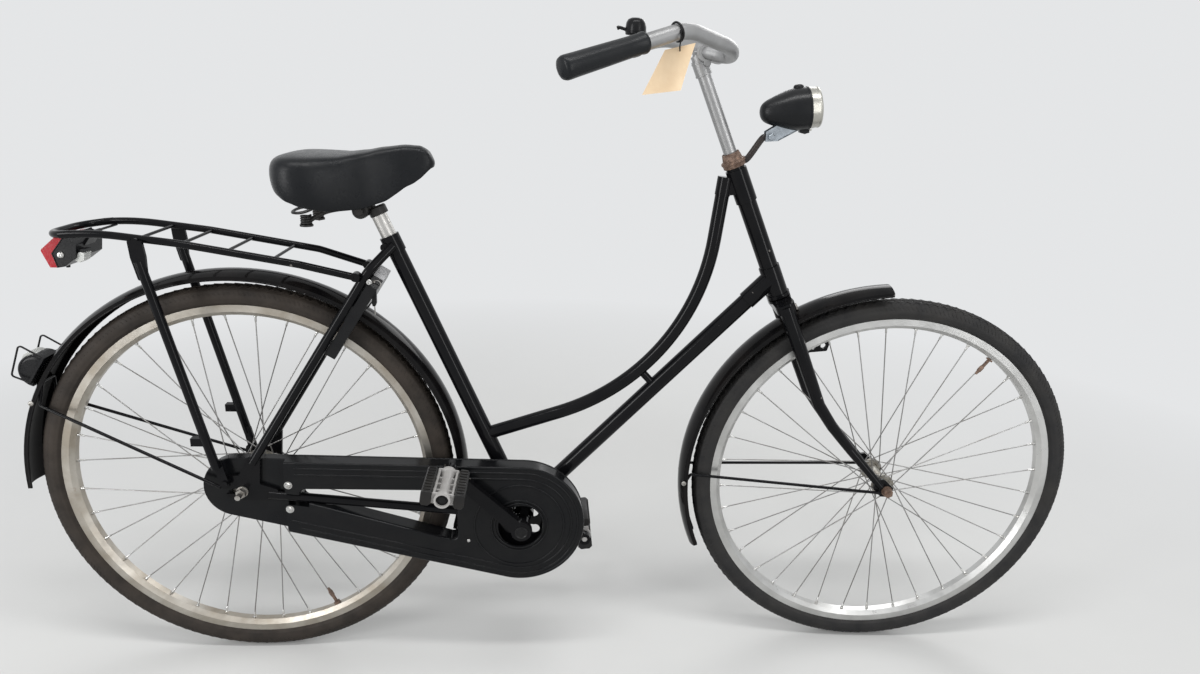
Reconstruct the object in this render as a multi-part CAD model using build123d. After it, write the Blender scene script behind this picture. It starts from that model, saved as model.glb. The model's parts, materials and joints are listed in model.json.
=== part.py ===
"""City bicycle with a step-through frame, full chaincase, rear carrier and coaster brake.

Millimetres. x points forward, y to the rider's left and z up. The model is laid out from the rear axle's
foot on the ground and saved with its origin at the middle of the seat, where the rider holds it.
"""

import os
from math import atan2, cos, degrees, radians, sin, tan

from build123d import *

# --- Driving dimensions ------------------------------------------------------------------------------

# Wheels
rim_seat_r = 317.5
tyre_section = 39.5
rim_flange_height = 5
rim_depth = 19
rim_width = 26
spoke_count = 36
spoke_d = 2.0
spoke_lead = 62
spoke_hole_inset = 3
flange_wall = 3
front_flange = 31.5
front_flange_r = 21
rear_flange_left = 34.5
rear_flange_right = 22
rear_flange_r = 33

# Frame layout
wheelbase = 1160
bottom_bracket_gap = 99.5
bottom_bracket_drop = 67
frame_angle = 66
seat_tube_rise = 88
head_tube_drop = 2
head_tube_height = 222
fork_rake = 65

# Frame tubes
main_tube_d = 28.6
curved_tube_d = 24
curved_tube_fill = 0.70
head_tube_d = 32
lug_wall = 2.2
stay_d = 16
bridge_d = 12
curved_bridge_d = 14
bottom_bracket_d = 42
bottom_bracket_w = 68
dropout_gap = 112
dropout_wall = 5

# Seat
seat_post_d = 25.4
saddle_length = 250
saddle_width = 206
saddle_rise = 134
saddle_nose_x = 333
saddle_nose_rise = 15
saddle_depth = 82
spring_y = 34

# Mudguards
mudguard_gap = 26
mudguard_width = 55
mudguard_depth = 15
mudguard_wall = 1.6
mudguard_wire_d = 5.5

# Drive
chain_line = 49
ring_r = 92
ring_wall = 3
sprocket_r = 38
crank_length = 172
crank_angle = 136.5
crank_in_y = 74
crank_wall = 14
spindle_r = 8
pedal_spindle_r = 5.5
pedal_width = 92
pedal_length = 72
pedal_depth = 26
case_wall = 1.6
case_front_r = 111.5
case_rear_r = 55.5
case_in_y = 35
case_out_y = 68
case_window_r = 42
case_cap_x = 74
case_cap_gap = 2

# Fork and handlebar
steering_turn = -3.3
steerer_d = 25.4
stem_d = 22.2
stem_height = 175
bar_d = 22.2
grip_d = 31
grip_length = 132
clamp_half_w = 17
clamp_wall = 3
fork_gap = 98
blade_d = 22
blade_tip_d = 14
axle_d = 9.5

# Carrier
rail_d = 12
rail_half_gap = 62
carrier_wire_d = 5
leg_d = 15
leg_head_x = -116
carrier_rear_x = -262
carrier_rise = 92
tail_lamp_drop = 48
tail_lamp_half_w = 38
mudguard_lamp_angle = 147

# Running clearances
bearing_gap = 0.1
seat_gap = 0.1
touch_gap = 0.3
spoke_end_gap = 0.05
spoke_lean_gap = 0.6

# --- Sizes that follow -------------------------------------------------------------------------------

tyre_r = tyre_section / 2
wheel_r = rim_seat_r + tyre_section
tyre_top_z = 2 * wheel_r
mudguard_r = wheel_r + mudguard_gap
bottom_bracket_x = mudguard_r + bottom_bracket_gap
bottom_bracket_z = wheel_r - bottom_bracket_drop
head_tube_low_z = tyre_top_z - head_tube_drop
head_tube_high_z = head_tube_low_z + head_tube_height
seat_tube_top_z = tyre_top_z + seat_tube_rise
saddle_top_z = seat_tube_top_z + saddle_rise
carrier_rear_z = tyre_top_z + carrier_rise
stem_top_z = head_tube_high_z + stem_height
rim_outer_r = rim_seat_r + rim_flange_height
rim_inner_r = rim_outer_r - rim_depth
slope = 1 / tan(radians(frame_angle))
head_dir = Vector(-cos(radians(frame_angle)), 0, sin(radians(frame_angle)))
head_front = Vector(sin(radians(frame_angle)), 0, cos(radians(frame_angle)))
dropout_in_y = dropout_gap / 2
dropout_out_y = dropout_in_y + dropout_wall
rear_centre = Vector(0, 0, wheel_r)
front_centre = Vector(wheelbase, 0, wheel_r)
bracket_centre = Vector(bottom_bracket_x, 0, bottom_bracket_z)
seat_point = Vector(saddle_nose_x - 141.9, 0, saddle_top_z)
UP = Vector(0, 0, 1)
LEFT = Vector(0, 1, 0)


def head_point(z):
    """The point of the steering axis at height z."""
    x = wheelbase - fork_rake / sin(radians(frame_angle)) - (z - wheel_r) * slope
    return Vector(x, 0, z)


def seat_tube_point(z):
    """The point of the seat tube's axis at height z."""
    return Vector(bottom_bracket_x - (z - bottom_bracket_z) * slope, 0, z)


def side_point(y, v):
    """The point v moved sideways to y."""
    return Vector(v.X, y, v.Z)


# --- Helpers -----------------------------------------------------------------------------------------


def save(name, shape):
    """Writes one node, with its origin at the seat."""
    export_step(Pos(-seat_point.X, -seat_point.Y, -seat_point.Z) * shape, f"parts/{name}.step")


def save_steered(name, shape):
    """Writes one node of what the handlebar steers, at the angle at which it rests."""
    axis = Axis(tuple(head_point(head_tube_low_z)), tuple(head_dir))
    save(name, shape.rotate(axis, steering_turn))


def rod(start, end, diameter):
    """A round bar between two points."""
    start, end = Vector(start), Vector(end)
    plane = Plane(origin=start, z_dir=end - start)
    return Solid.make_cylinder(diameter / 2, (end - start).length, plane)


def cone(start, end, start_d, end_d):
    """A tapered bar between two points."""
    start, end = Vector(start), Vector(end)
    plane = Plane(origin=start, z_dir=end - start)
    return Solid.make_cone(start_d / 2, end_d / 2, (end - start).length, plane)


def bent_rod(points, diameter, bend_r):
    """A round bar along straight runs joined by arcs of radius bend_r, or of one radius a corner."""
    path = FilletPolyline(*points, radius=bend_r)
    section = Plane(origin=path @ 0, z_dir=path % 0) * Circle(diameter / 2)
    return sweep(section, path=path)


def plate(outline, low_y, high_y, corner_r=0):
    """A flat plate across y, with its outline given as (x, z) points."""
    edge = Polyline(*[(x, low_y, z) for x, z in outline], close=True)
    face = make_face(edge)
    if corner_r:
        face = fillet(face.vertices(), corner_r)
    return extrude(face, amount=high_y - low_y, dir=(0, 1, 0))


def disc(centre, low_y, high_y, radius):
    """A round plate across y."""
    return rod(side_point(low_y, centre), side_point(high_y, centre), 2 * radius)


def hexagon(centre, low_y, high_y, across):
    """A hexagon nut across y."""
    plane = Plane(origin=side_point(low_y, centre), z_dir=LEFT)
    return extrude(plane * RegularPolygon(across / 2, 6, major_radius=False), amount=high_y - low_y)


def ring_about_y(profile, start_deg, arc_deg):
    """Turns a face drawn in (radius, y) about the y axis, from an angle above the front."""
    return revolve(profile.rotate(Axis.Y, -start_deg), Axis.Y, arc_deg)


def on_wheel(shape, centre):
    """Places a shape made about the y axis on a wheel's centre."""
    return Pos(centre.X, centre.Y, centre.Z) * shape


def wheel_point(centre, radius, angle_deg, y=0):
    """The point at a radius and an angle above the front, about a wheel's centre."""
    a = radians(angle_deg)
    return Vector(centre.X + radius * cos(a), y, centre.Z + radius * sin(a))


def both_sides(shape):
    """A shape and its mirror image across the bicycle's middle plane."""
    return [shape, mirror(shape, about=Plane.XZ)]


def joined(shapes):
    """One shape of several."""
    total = shapes[0]
    for shape in shapes[1:]:
        total = total + shape
    return total


# --- Wheels ------------------------------------------------------------------------------------------


def make_tyre():
    """A tyre whose section is a circle, flattened where it sits in the rim."""
    section = Pos(rim_seat_r + tyre_r, 0) * Circle(tyre_r)
    bead = Pos(rim_seat_r, 0) * Rectangle(2 * rim_flange_height, rim_width - 6)
    hollow = Pos(rim_seat_r + tyre_r, 0) * Circle(tyre_r - 4)
    low_cut = Pos(rim_seat_r - 20, 0) * Rectangle(40, tyre_section)
    return revolve(section + bead - low_cut - hollow, Axis.Y)


def rim_profile():
    """The rim's section: a shallow channel with hooked walls and a rounded bottom."""
    half = rim_width / 2
    shelf_r = rim_seat_r - 1.2
    outline = [
        (rim_outer_r, half),
        (rim_outer_r, half - 2.4),
        (shelf_r, half - 2.8),
        (shelf_r, -half + 2.8),
        (rim_outer_r, -half + 2.4),
        (rim_outer_r, -half),
        (rim_seat_r - 7, -half),
        (rim_inner_r, -half + 7),
        (rim_inner_r, half - 7),
        (rim_seat_r - 7, half),
    ]
    return make_face(Polyline(*outline, close=True))


def make_rim():
    """The rim, solid between its channel and its inner face."""
    return revolve(rim_profile(), Axis.Y)


def make_spokes(flange_r, left_y, right_y, flange_wall, crossing_deg):
    """Crossed spokes from two flanges to the rim, laid on each flange's two faces in turn."""
    spokes = []
    end_r = rim_inner_r - spoke_end_gap
    for i in range(spoke_count):
        flange_y = left_y if i % 2 else -right_y
        side = 1 if i % 2 else -1
        outward = 1 if (i // 2) % 2 else -1
        rim_deg = 360 / spoke_count * (i + 0.5)
        hub_deg = rim_deg + outward * crossing_deg
        stand_off = (flange_wall + spoke_d) / 2 + (spoke_lean_gap if outward > 0 else spoke_end_gap)
        face_y = flange_y + side * outward * stand_off
        start = Vector(flange_r * cos(radians(hub_deg)), face_y, flange_r * sin(radians(hub_deg)))
        end = Vector(end_r * cos(radians(rim_deg)), side * 2, end_r * sin(radians(rim_deg)))
        spokes.append(rod(start, end, spoke_d))
    return spokes


def make_front_hub():
    """A slim hub shell with two flanges, turned in one piece round the axle's bore."""
    bore = axle_d / 2 + bearing_gap
    low, high = front_flange - flange_wall / 2, front_flange + flange_wall / 2
    half = [(12, low - 5), (14, low), (front_flange_r, low), (front_flange_r, high), (15, high), (13, 40),
            (bore, 40)]
    outline = [(r, -y) for r, y in reversed(half)] + half
    return revolve(make_face(Polyline(*outline, close=True)), Axis.Y)


def make_rear_hub():
    """A brake hub: a fat shell between two flanges, with the sprocket on its right."""
    bore = axle_d / 2 + bearing_gap
    half = flange_wall / 2
    left, right = rear_flange_left, -rear_flange_right
    outline = [(bore, -50), (14, -50), (14, -chain_line - 1.2), (sprocket_r, -chain_line - 1.2),
               (sprocket_r, -chain_line + 1.2), (17, -chain_line + 1.2), (20, right - half),
               (rear_flange_r, right - half), (rear_flange_r, right + half), (27, right + half), (25, 6),
               (27, left - half), (rear_flange_r, left - half), (rear_flange_r, left + half), (22, left + half),
               (20, 46), (bore, 46)]
    return revolve(make_face(Polyline(*outline, close=True)), Axis.Y)


def make_wheel(prefix, centre, hub, flange_r, left_y, right_y, write):
    """Writes a wheel's tyre, rim, hub and spokes about its centre."""
    rim = make_rim()
    spokes = make_spokes(flange_r - spoke_hole_inset, left_y, right_y, flange_wall, spoke_lead)
    write(f"{prefix}_tyre", on_wheel(make_tyre() - rim, centre))
    write(f"{prefix}_rim", on_wheel(rim, centre))
    write(f"{prefix}_hub", on_wheel(hub, centre))
    write(f"{prefix}_spokes", on_wheel(Compound(children=spokes), centre))


def make_axle(centre, out_y, nut_across, in_y, plate_y):
    """An axle through both frame ends: locknuts inside, washers and nuts outside."""
    pieces = [disc(centre, -out_y, out_y, axle_d / 2)]
    for side in (-1, 1):
        pieces.append(disc(centre, side * in_y, side * plate_y, 9))
        pieces.append(disc(centre, side * (plate_y + dropout_wall), side * (plate_y + dropout_wall + 2), 10))
        nut_low = side * (plate_y + dropout_wall + 2)
        pieces.append(hexagon(centre, min(nut_low, nut_low + side * 9), max(nut_low, nut_low + side * 9),
                              nut_across))
    return joined(pieces)


# --- Frame -------------------------------------------------------------------------------------------


def make_bottom_bracket():
    """The bottom bracket shell, bored for the crank spindle."""
    half = bottom_bracket_w / 2
    bore = disc(bracket_centre, -half - 1, half + 1, spindle_r + bearing_gap)
    return disc(bracket_centre, -half, half, bottom_bracket_d / 2) - bore


def make_head_tube():
    """The head tube with its two lug sleeves, bored for the steerer."""
    low, high = head_point(head_tube_low_z), head_point(head_tube_high_z)
    lug_d = head_tube_d + 2 * lug_wall
    tube = rod(low, high, head_tube_d)
    tube += rod(low, low + head_dir * 58, lug_d)
    tube += rod(high - head_dir * 62, high - head_dir * 4, lug_d)
    tube += rod(low, low + head_dir * 6, lug_d + 4)
    return tube - rod(low - head_dir, high + head_dir, steerer_d + 2 * bearing_gap)


def curved_tube_corners():
    """The corner points of the curved tube: beside the head tube, the bend, and on the seat tube."""
    top = head_point(head_tube_high_z - 18) - Vector(23, 0, 0)
    corner = head_point(head_tube_low_z - 148) - Vector(214.5, 0, 0)
    foot = seat_tube_point(wheel_r + 84)
    return top, corner, foot


def curved_tube_bend():
    """The radius of the curved tube's one long bend, from its share of the shorter run."""
    top, corner, foot = curved_tube_corners()
    turn = (corner - top).get_angle(foot - corner)
    return curved_tube_fill * min((corner - top).length, (foot - corner).length) / tan(radians(turn / 2))


def make_curved_tube(head_tube, seat_tube):
    """The curved top tube with the web of its upper lug."""
    top, corner, foot = curved_tube_corners()
    tube = bent_rod([top, corner, foot], curved_tube_d, curved_tube_bend())
    down = (corner - top).normalized()
    lug = rod(top - down * 1, top + down * 30, curved_tube_d + lug_wall)
    side = curved_tube_d / 2
    web_top, web_low = top, top + down * 30
    web = plate([(web_top.X, web_top.Z), (head_point(web_top.Z).X, web_top.Z - 6),
                 (head_point(web_low.Z).X, web_low.Z + 4), (web_low.X, web_low.Z)], -side + 2, side - 2)
    return tube + lug + web - head_tube_core() - head_tube - seat_tube


def head_tube_core():
    """All that lies inside the head tube's outline."""
    low, high = head_point(head_tube_low_z), head_point(head_tube_high_z)
    return rod(low, high, head_tube_d)


def make_down_tube(head_tube, bracket, curved_tube):
    """The down tube, with the short bridge that holds the curved tube off it."""
    top = head_point(head_tube_low_z + 34)
    run = top - bracket_centre
    tube = rod(bracket_centre, top, main_tube_d)
    lug = rod(top - run.normalized() * 62, top, main_tube_d + 2 * lug_wall)
    low = bracket_centre + run * 0.545
    curve = FilletPolyline(*curved_tube_corners(), radius=curved_tube_bend())
    bridge = rod(low, curve.distance_to_with_closest_points(Vertex(low))[1], curved_bridge_d)
    core = disc(bracket_centre, -bottom_bracket_w, bottom_bracket_w, bottom_bracket_d / 2)
    return tube + lug + bridge - head_tube_core() - head_tube - core - bracket - curved_tube


def make_seat_tube(bracket):
    """The seat tube with its top lug, bored for the seat post."""
    top = seat_tube_point(seat_tube_top_z)
    up = (top - bracket_centre).normalized()
    tube = rod(bracket_centre, top, main_tube_d) + rod(top - up * 30, top, main_tube_d + 2 * lug_wall)
    tube += rod(bracket_centre, bracket_centre + up * 44, main_tube_d + 2 * lug_wall)
    tube -= rod(top - up * 120, top + up, seat_post_d + 2 * seat_gap)
    return tube - disc(bracket_centre, -bottom_bracket_w, bottom_bracket_w, bottom_bracket_d / 2)


def dropout_plate():
    """The right frame end: an arm to each stay, and a slot that opens to the rear."""
    cx, cz = rear_centre.X, rear_centre.Z
    body = plate([(cx - 24, cz - 12), (cx + 12, cz - 17), (cx + 58, cz - 15), (cx + 60, cz + 3),
                  (cx + 30, cz + 14),
                  (cx + 34, cz + 62), (cx + 14, cz + 66), (cx - 4, cz + 30), (cx - 34, cz + 30),
                  (cx - 36, cz + 12)], -dropout_out_y, -dropout_in_y, 3)
    slot_half = axle_d / 2 + 0.2
    slot = plate([(cx - 60, cz - slot_half), (cx, cz - slot_half), (cx, cz + slot_half),
                  (cx - 60, cz + slot_half)],
                 -dropout_out_y - 1, -dropout_in_y + 1)
    return body - slot - disc(rear_centre, -dropout_out_y - 1, -dropout_in_y + 1, slot_half)


def eyelet_centre():
    """The bolt hole of the right frame end that takes the carrier leg and the mudguard wire."""
    return Vector(rear_centre.X - 24, 0, rear_centre.Z + 20)


def chain_stay_run(diameter):
    """The right chain stay's path as a bar of a diameter."""
    start = bracket_centre + Vector(-14, -23, 2)
    bend = bracket_centre + Vector(-95, -36, 13)
    end = rear_centre + Vector(44, -dropout_in_y - dropout_wall / 2, -7)
    return bent_rod([start, bend, end], diameter, 160)


def make_chain_stays():
    """Both chain stays with the frame ends and the bridge behind the bottom bracket."""
    run = chain_stay_run(stay_d)
    eyelet = disc(eyelet_centre(), -dropout_out_y - 3, -dropout_in_y, 6.5)
    right = run + dropout_plate() + eyelet
    bridge_at = bracket_centre + Vector(-76, 0, 11)
    bridge = rod(side_point(-34, bridge_at), side_point(34, bridge_at), bridge_d)
    core = disc(bracket_centre, -bottom_bracket_w, bottom_bracket_w, bottom_bracket_d / 2)
    return joined(both_sides(right) + [bridge]) - core


def stay_corner():
    """The point where the right seat stay turns down past the mudguard."""
    return side_point(-39, seat_tube_point(seat_tube_top_z - 54) - Vector(52.5, 0, 0))


def seat_stay_foot():
    """The right seat stay's lower end, on its frame end."""
    return Vector(rear_centre.X + 20, -dropout_in_y - dropout_wall / 2, rear_centre.Z + 54)


def on_stay_at(radius):
    """The point of the seat stay's side view at a radius from the rear wheel's centre."""
    foot, corner = side_point(0, seat_stay_foot()), side_point(0, stay_corner())
    along = (corner - foot).normalized()
    start = foot - rear_centre
    reach = -start.dot(along) + ((start.dot(along)) ** 2 - start.dot(start) + radius**2) ** 0.5
    return foot + along * reach


def make_seat_stays(seat_tube, chain_stays):
    """Both seat stays with their top lug and the bridge over the mudguard."""
    top = seat_tube_point(seat_tube_top_z - 16)
    right = bent_rod([(top.X + 2, -15, top.Z + 2), stay_corner(), seat_stay_foot()], stay_d, 60)
    bridge_at = on_stay_at(mudguard_r + bridge_d / 2 + touch_gap)
    bridge = rod(side_point(-42, bridge_at), side_point(42, bridge_at), bridge_d)
    bolt = rod((top.X - 12, -17, top.Z - 2), (top.X - 12, 17, top.Z - 2), 14)
    return joined(both_sides(right) + [bridge, bolt]) - seat_tube - seat_tube_core() - chain_stays


def seat_tube_core():
    """All that lies inside the seat tube's outline."""
    top = seat_tube_point(seat_tube_top_z)
    return rod(bracket_centre, top + head_dir * 20, main_tube_d)


# --- Seat --------------------------------------------------------------------------------------------


def make_seat_post():
    """The seat post, from inside the seat tube to the saddle's clamp."""
    return rod(seat_tube_point(seat_tube_top_z - 90), seat_tube_point(saddle_top_z - 92), seat_post_d)


def saddle_side():
    """The saddle's side view, as (x, z) points from the nose over the crown and back along the hem."""
    nose, top = saddle_nose_x, saddle_top_z
    crown = Spline((nose, 0, top - 20), (nose - 12, 0, top + 4), (nose - 40, 0, top + saddle_nose_rise),
                   (nose - 110, 0, top + 3), (nose - 176, 0, top), (nose - 228, 0, top - 4),
                   (nose - saddle_length, 0, top - 34))
    belly = Spline(crown @ 1, (nose - 228, 0, top - 62), (nose - 176, 0, top - saddle_depth + 3),
                   (nose - 136, 0, top - saddle_depth), (nose - 82, 0, top - saddle_depth + 13))
    return make_face(Wire([crown.edge(), belly.edge(), Line(belly @ 1, crown @ 0).edge()]))


def make_saddle():
    """The saddle's pad: a pear-shaped plan cut to its side view, with a rounded rim."""
    nose, half = saddle_nose_x, saddle_width / 2
    low, top = saddle_top_z - saddle_depth - 10, saddle_top_z + 30
    side = [(nose - 34, 23), (nose - 96, 42), (nose - 153, half - 14), (nose - 200, half),
            (nose - 237, half - 26)]
    plan = Spline(*[(x, -y, low) for x, y in [(nose, 0), *side, (nose - saddle_length, 0)]])
    half_plan = make_face(Wire([plan.edge(), Line(plan @ 1, plan @ 0).edge()]))
    pad = extrude(half_plan, amount=top - low, dir=(0, 0, 1))
    pad += mirror(pad, about=Plane.XZ)
    width = Pos(0, -saddle_width, 0) * extrude(saddle_side(), amount=2 * saddle_width, dir=(0, 1, 0))
    pad = pad & width
    rim = pad.edges().filter_by(lambda e: (e @ 0.5).Z > saddle_top_z - 20 and abs((e @ 0.5).Y) > 5)
    return fillet(rim, 9)


def make_saddle_frame(post, saddle):
    """The saddle's two arms, the clamp on the post, the wire loop behind and the springs that carry it."""
    clamp_z = saddle_top_z - 96
    clamp = Vector(seat_tube_point(clamp_z).X - 21, 0, clamp_z)
    spring = Vector(clamp.X - 85, 0, clamp_z - 19)
    pieces = [rod(side_point(-24, clamp), side_point(24, clamp), 26)]
    for side in (-1, 1):
        end = side_point(side * spring_y, spring)
        arm = [(clamp.X + 12, side * 12, clamp_z + 6), (clamp.X - 44, side * 20, clamp_z + 2), end]
        pieces.append(bent_rod(arm, 8, 14))
        pieces.append(rod(end - UP * 5, end + UP * 25, 20))
    near = [(clamp.X - 40, -44, clamp_z + 22), (spring.X + 3, -44, spring.Z + 23),
            (spring.X - 24, -30, spring.Z + 20)]
    pieces.append(bent_rod(near + [(x, -y, z) for x, y, z in reversed(near)], 5, 9))
    return joined(pieces) - post - saddle


# --- Mudguards ---------------------------------------------------------------------------------------


def mudguard_profile():
    """A mudguard's section in (radius, y): a crowned channel with straight skirts."""
    half = mudguard_width / 2
    skirt = mudguard_r - mudguard_depth
    shoulder = mudguard_r - mudguard_depth * 0.55

    def line(inset):
        arc = ThreePointArc((shoulder, -half + inset), (mudguard_r - inset, 0), (shoulder, half - inset))
        return (Line((skirt, -half + inset), (shoulder, -half + inset)) + arc
                + Line((shoulder, half - inset), (skirt, half - inset)))

    outer, inner = line(0), line(mudguard_wall)
    ends = Line((skirt, -half), (skirt, -half + mudguard_wall))
    ends += Line((skirt, half), (skirt, half - mudguard_wall))
    return make_face(outer + inner + ends)


def make_rear_mudguard(others):
    """The rear mudguard, cut where frame pieces pass through its skirts."""
    guard = on_wheel(ring_about_y(mudguard_profile(), 182, 197), rear_centre)
    return guard - others


def wire_over(centre, angle_deg, foot, edge_angle_deg):
    """A mudguard wire: from the right frame end up to the guard, across inside it and down again."""
    half = mudguard_width / 2 - mudguard_wall - mudguard_wire_d / 2 - touch_gap
    r_in = mudguard_r - mudguard_wall - mudguard_wire_d / 2 - 4
    skirt_r = mudguard_r - mudguard_depth - mudguard_wire_d
    top = [wheel_point(centre, r_in, angle_deg, side * (half - 6)) for side in (-1, 1)]
    edge = [wheel_point(centre, skirt_r, edge_angle_deg, side * half) for side in (-1, 1)]
    feet = [side_point(side * foot.Y, foot) for side in (1, -1)]
    return bent_rod([feet[0], edge[0], top[0], top[1], edge[1], feet[1]], mudguard_wire_d, 4)


# --- Drive -------------------------------------------------------------------------------------------


def case_centres():
    """The centres of the chaincase's front and rear rounds."""
    front = Vector(bottom_bracket_x, 0, bottom_bracket_z + 4.5)
    return front, rear_centre + Vector(-12, 0, 4.5)


def case_outline(shrink):
    """The chaincase's side outline, a belt round two circles, made smaller by shrink."""
    front, rear = case_centres()
    big, small = case_front_r - shrink, case_rear_r - shrink
    run = front - rear
    lean = atan2(run.Z, run.X)
    turn = (big - small) / run.length
    spread = radians(90) + turn
    points = []
    for centre, radius, sign in ((rear, small, 1), (front, big, 1), (front, big, -1), (rear, small, -1)):
        a = lean + sign * spread
        points.append((centre.X + radius * cos(a), 0, centre.Z + radius * sin(a)))
    nose = (front.X + big * cos(lean), 0, front.Z + big * sin(lean))
    tail = (rear.X - small * cos(lean), 0, rear.Z - small * sin(lean))
    edges = Line(points[0], points[1]) + ThreePointArc(points[1], nose, points[2])
    edges += Line(points[2], points[3]) + ThreePointArc(points[3], tail, points[0])
    return make_face(edges)


def case_window(grow):
    """The long opening between the chaincase's upper and lower runs."""
    front, rear = case_centres()
    left, right = rear.X + 110, front.X - case_front_r - 3
    corners = [(left - grow, rear.Z + 2 + grow), (right + grow, rear.Z - 1 + grow),
               (right + grow, front.Z - 34 - grow), (left - grow, rear.Z - 20 - grow)]
    face = make_face(Polyline(*[(x, 0, z) for x, z in corners], close=True))
    return fillet(face.vertices(), 10)


def across(face, low_y, high_y):
    """A face drawn at y = 0 made solid between two y values."""
    return Pos(0, low_y, 0) * extrude(face, amount=high_y - low_y, dir=(0, 1, 0))


def make_case_blank():
    """The whole chaincase before it is split: a hollow belt with a window and the crank's round hole."""
    outer = across(case_outline(0), -case_out_y, -case_in_y) - across(case_window(0), -case_out_y, -case_in_y)
    face_edges = outer.faces().sort_by(Axis.Y)[0].edges()
    outer = fillet(face_edges, 5)
    cavity = across(case_outline(case_wall), -case_out_y + case_wall, -case_in_y - case_wall)
    cavity -= across(case_window(case_wall), -case_out_y, -case_in_y)
    hole = disc(bracket_centre, -case_out_y - 1, -case_in_y + 1, case_window_r)
    return outer - cavity - hole


def make_chaincase(stays):
    """The chaincase and its rear cap, cleared for the stays and the frame end."""
    blank = make_case_blank()
    rear = case_centres()[1]
    cap_zone = Pos(case_cap_x - 150, -case_out_y / 2, rear_centre.Z) * Box(300, 2 * case_out_y, 300)
    skin_y = -dropout_in_y + case_cap_gap
    slim = Pos(case_cap_x - 150, -case_out_y, rear_centre.Z) * Box(300, 2 * (case_out_y + skin_y), 300)
    main = blank - cap_zone
    cap = (blank & cap_zone) - slim
    skin_face = across(case_outline(0), skin_y, skin_y + case_wall) & cap_zone
    cap += skin_face
    clear = chain_stay_run(stay_d + 3)
    hub_hole = disc(rear_centre, -case_out_y, 0, 20)
    sprocket_room = disc(rear_centre, -chain_line - 3, 0, sprocket_r + 6)
    main -= clear
    stay_slot = [(case_cap_x - 4, rear_centre.Z - 21), (rear.X + 125, rear_centre.Z - 27),
                 (rear.X + 125, rear_centre.Z - 6), (case_cap_x - 4, rear_centre.Z)]
    main -= plate(stay_slot, -case_out_y - 1, -case_out_y + 8)
    cap = cap - clear - hub_hole - sprocket_room - stays
    return main, cap


def make_chainring():
    """The chainring: a toothed disc with five windows, on the spindle's right."""
    body = disc(bracket_centre, -chain_line - ring_wall / 2, -chain_line + ring_wall / 2, ring_r)
    for i in range(5):
        a = 40 + 72 * i
        for r in (22, 28):
            at = bracket_centre + Vector(r * cos(radians(a)), 0, r * sin(radians(a)))
            body -= disc(at, -chain_line - 5, -chain_line + 5, 6 if r == 22 else 9)
    return body - disc(bracket_centre, -chain_line - 5, -chain_line + 5, spindle_r)


def make_spindle():
    """The crank spindle, a little thicker in its middle."""
    half = crank_in_y + crank_wall
    return disc(bracket_centre, -half - 1, half + 1, spindle_r)


def crank_end(side):
    """The pedal's centre on the crank at that side: the right one at crank_angle, the left opposite."""
    a = radians(crank_angle + (0 if side < 0 else 180))
    return bracket_centre + Vector(crank_length * cos(a), 0, crank_length * sin(a))


def make_crank(side):
    """A flat-sided crank with a round boss at each end."""
    low, high = sorted((side * crank_in_y, side * (crank_in_y + crank_wall)))
    end = crank_end(side)
    along = (end - bracket_centre).normalized()
    across_dir = Vector(-along.Z, 0, along.X)
    corners = [bracket_centre + across_dir * 13, end + across_dir * 9.5, end - across_dir * 9.5,
               bracket_centre - across_dir * 13]
    body = plate([(p.X, p.Z) for p in corners], low, high)
    body += disc(bracket_centre, low, high, 17) + disc(end, low, high, 12)
    if side < 0:
        body += disc(bracket_centre, -crank_in_y, -chain_line - ring_wall / 2, 15)
    pedal_bore = disc(end, low - 1, high + 1, pedal_spindle_r + bearing_gap)
    return body - pedal_bore - disc(bracket_centre, low - 60, high + 60, spindle_r)


def make_pedal(side, turn_deg):
    """A pedal: two rubber treads on a cage round the spindle, turned about its own axis."""
    inner = crank_in_y + crank_wall + 4
    outer = inner + pedal_width
    origin = Vector(0, 0, 0)
    spindle = disc(origin, crank_in_y + 1, outer - 2, pedal_spindle_r)
    barrel = disc(origin, inner, outer, 12.5)
    pieces = [spindle, barrel]
    for front in (-1, 1):
        place = Pos(front * (pedal_length / 2 - 10), (inner + outer) / 2, 0)
        tread = place * Box(20, pedal_width - 8, pedal_depth)
        pieces.append(fillet(tread.edges().filter_by(Axis.Y), 5))
    for y in (inner + 2, outer - 4):
        pieces.append(Pos(0, y, 0) * Box(pedal_length - 20, 4, pedal_depth - 6))
    pedal = joined(pieces).rotate(Axis.Y, turn_deg)
    if side < 0:
        pedal = mirror(pedal, about=Plane.XZ)
    end = crank_end(side)
    return Pos(end.X, 0, end.Z) * pedal


def make_brake_arm(stays):
    """The coaster brake's reaction arm, from the hub to a clip on the left chain stay."""
    at = Vector(rear_centre.X + 150, 0, rear_centre.Z - 22)
    arm = plate([(rear_centre.X - 10, rear_centre.Z - 12), (rear_centre.X + 30, rear_centre.Z - 18),
                 (at.X, at.Z - 20),
                 (at.X + 14, at.Z - 12), (at.X + 8, at.Z - 4), (rear_centre.X + 20, rear_centre.Z + 8)],
                47, 50, 3)
    arm += disc(rear_centre, 47, 50, 21)
    corners = [(at.X - 12, at.Z - 20), (at.X + 10, at.Z - 18), (at.X + 9, at.Z - 3), (at.X - 11, at.Z)]
    clip = plate(corners, 47, 56)
    return arm + clip - stays - disc(rear_centre, 40, 60, axle_d / 2 + 4.6)


# --- Carrier -----------------------------------------------------------------------------------------


def rail_points():
    """The right rail's corners, from the seat stay to the rear bend."""
    y = -rail_half_gap
    front = stay_corner()
    return [Vector(front.X - 21, y + 13, front.Z - 7), Vector(front.X - 104, y, carrier_rear_z - 43),
            Vector(-60, y, carrier_rear_z - 14), Vector(-190, y, carrier_rear_z),
            Vector(carrier_rear_x, y, carrier_rear_z - 8)]


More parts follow.
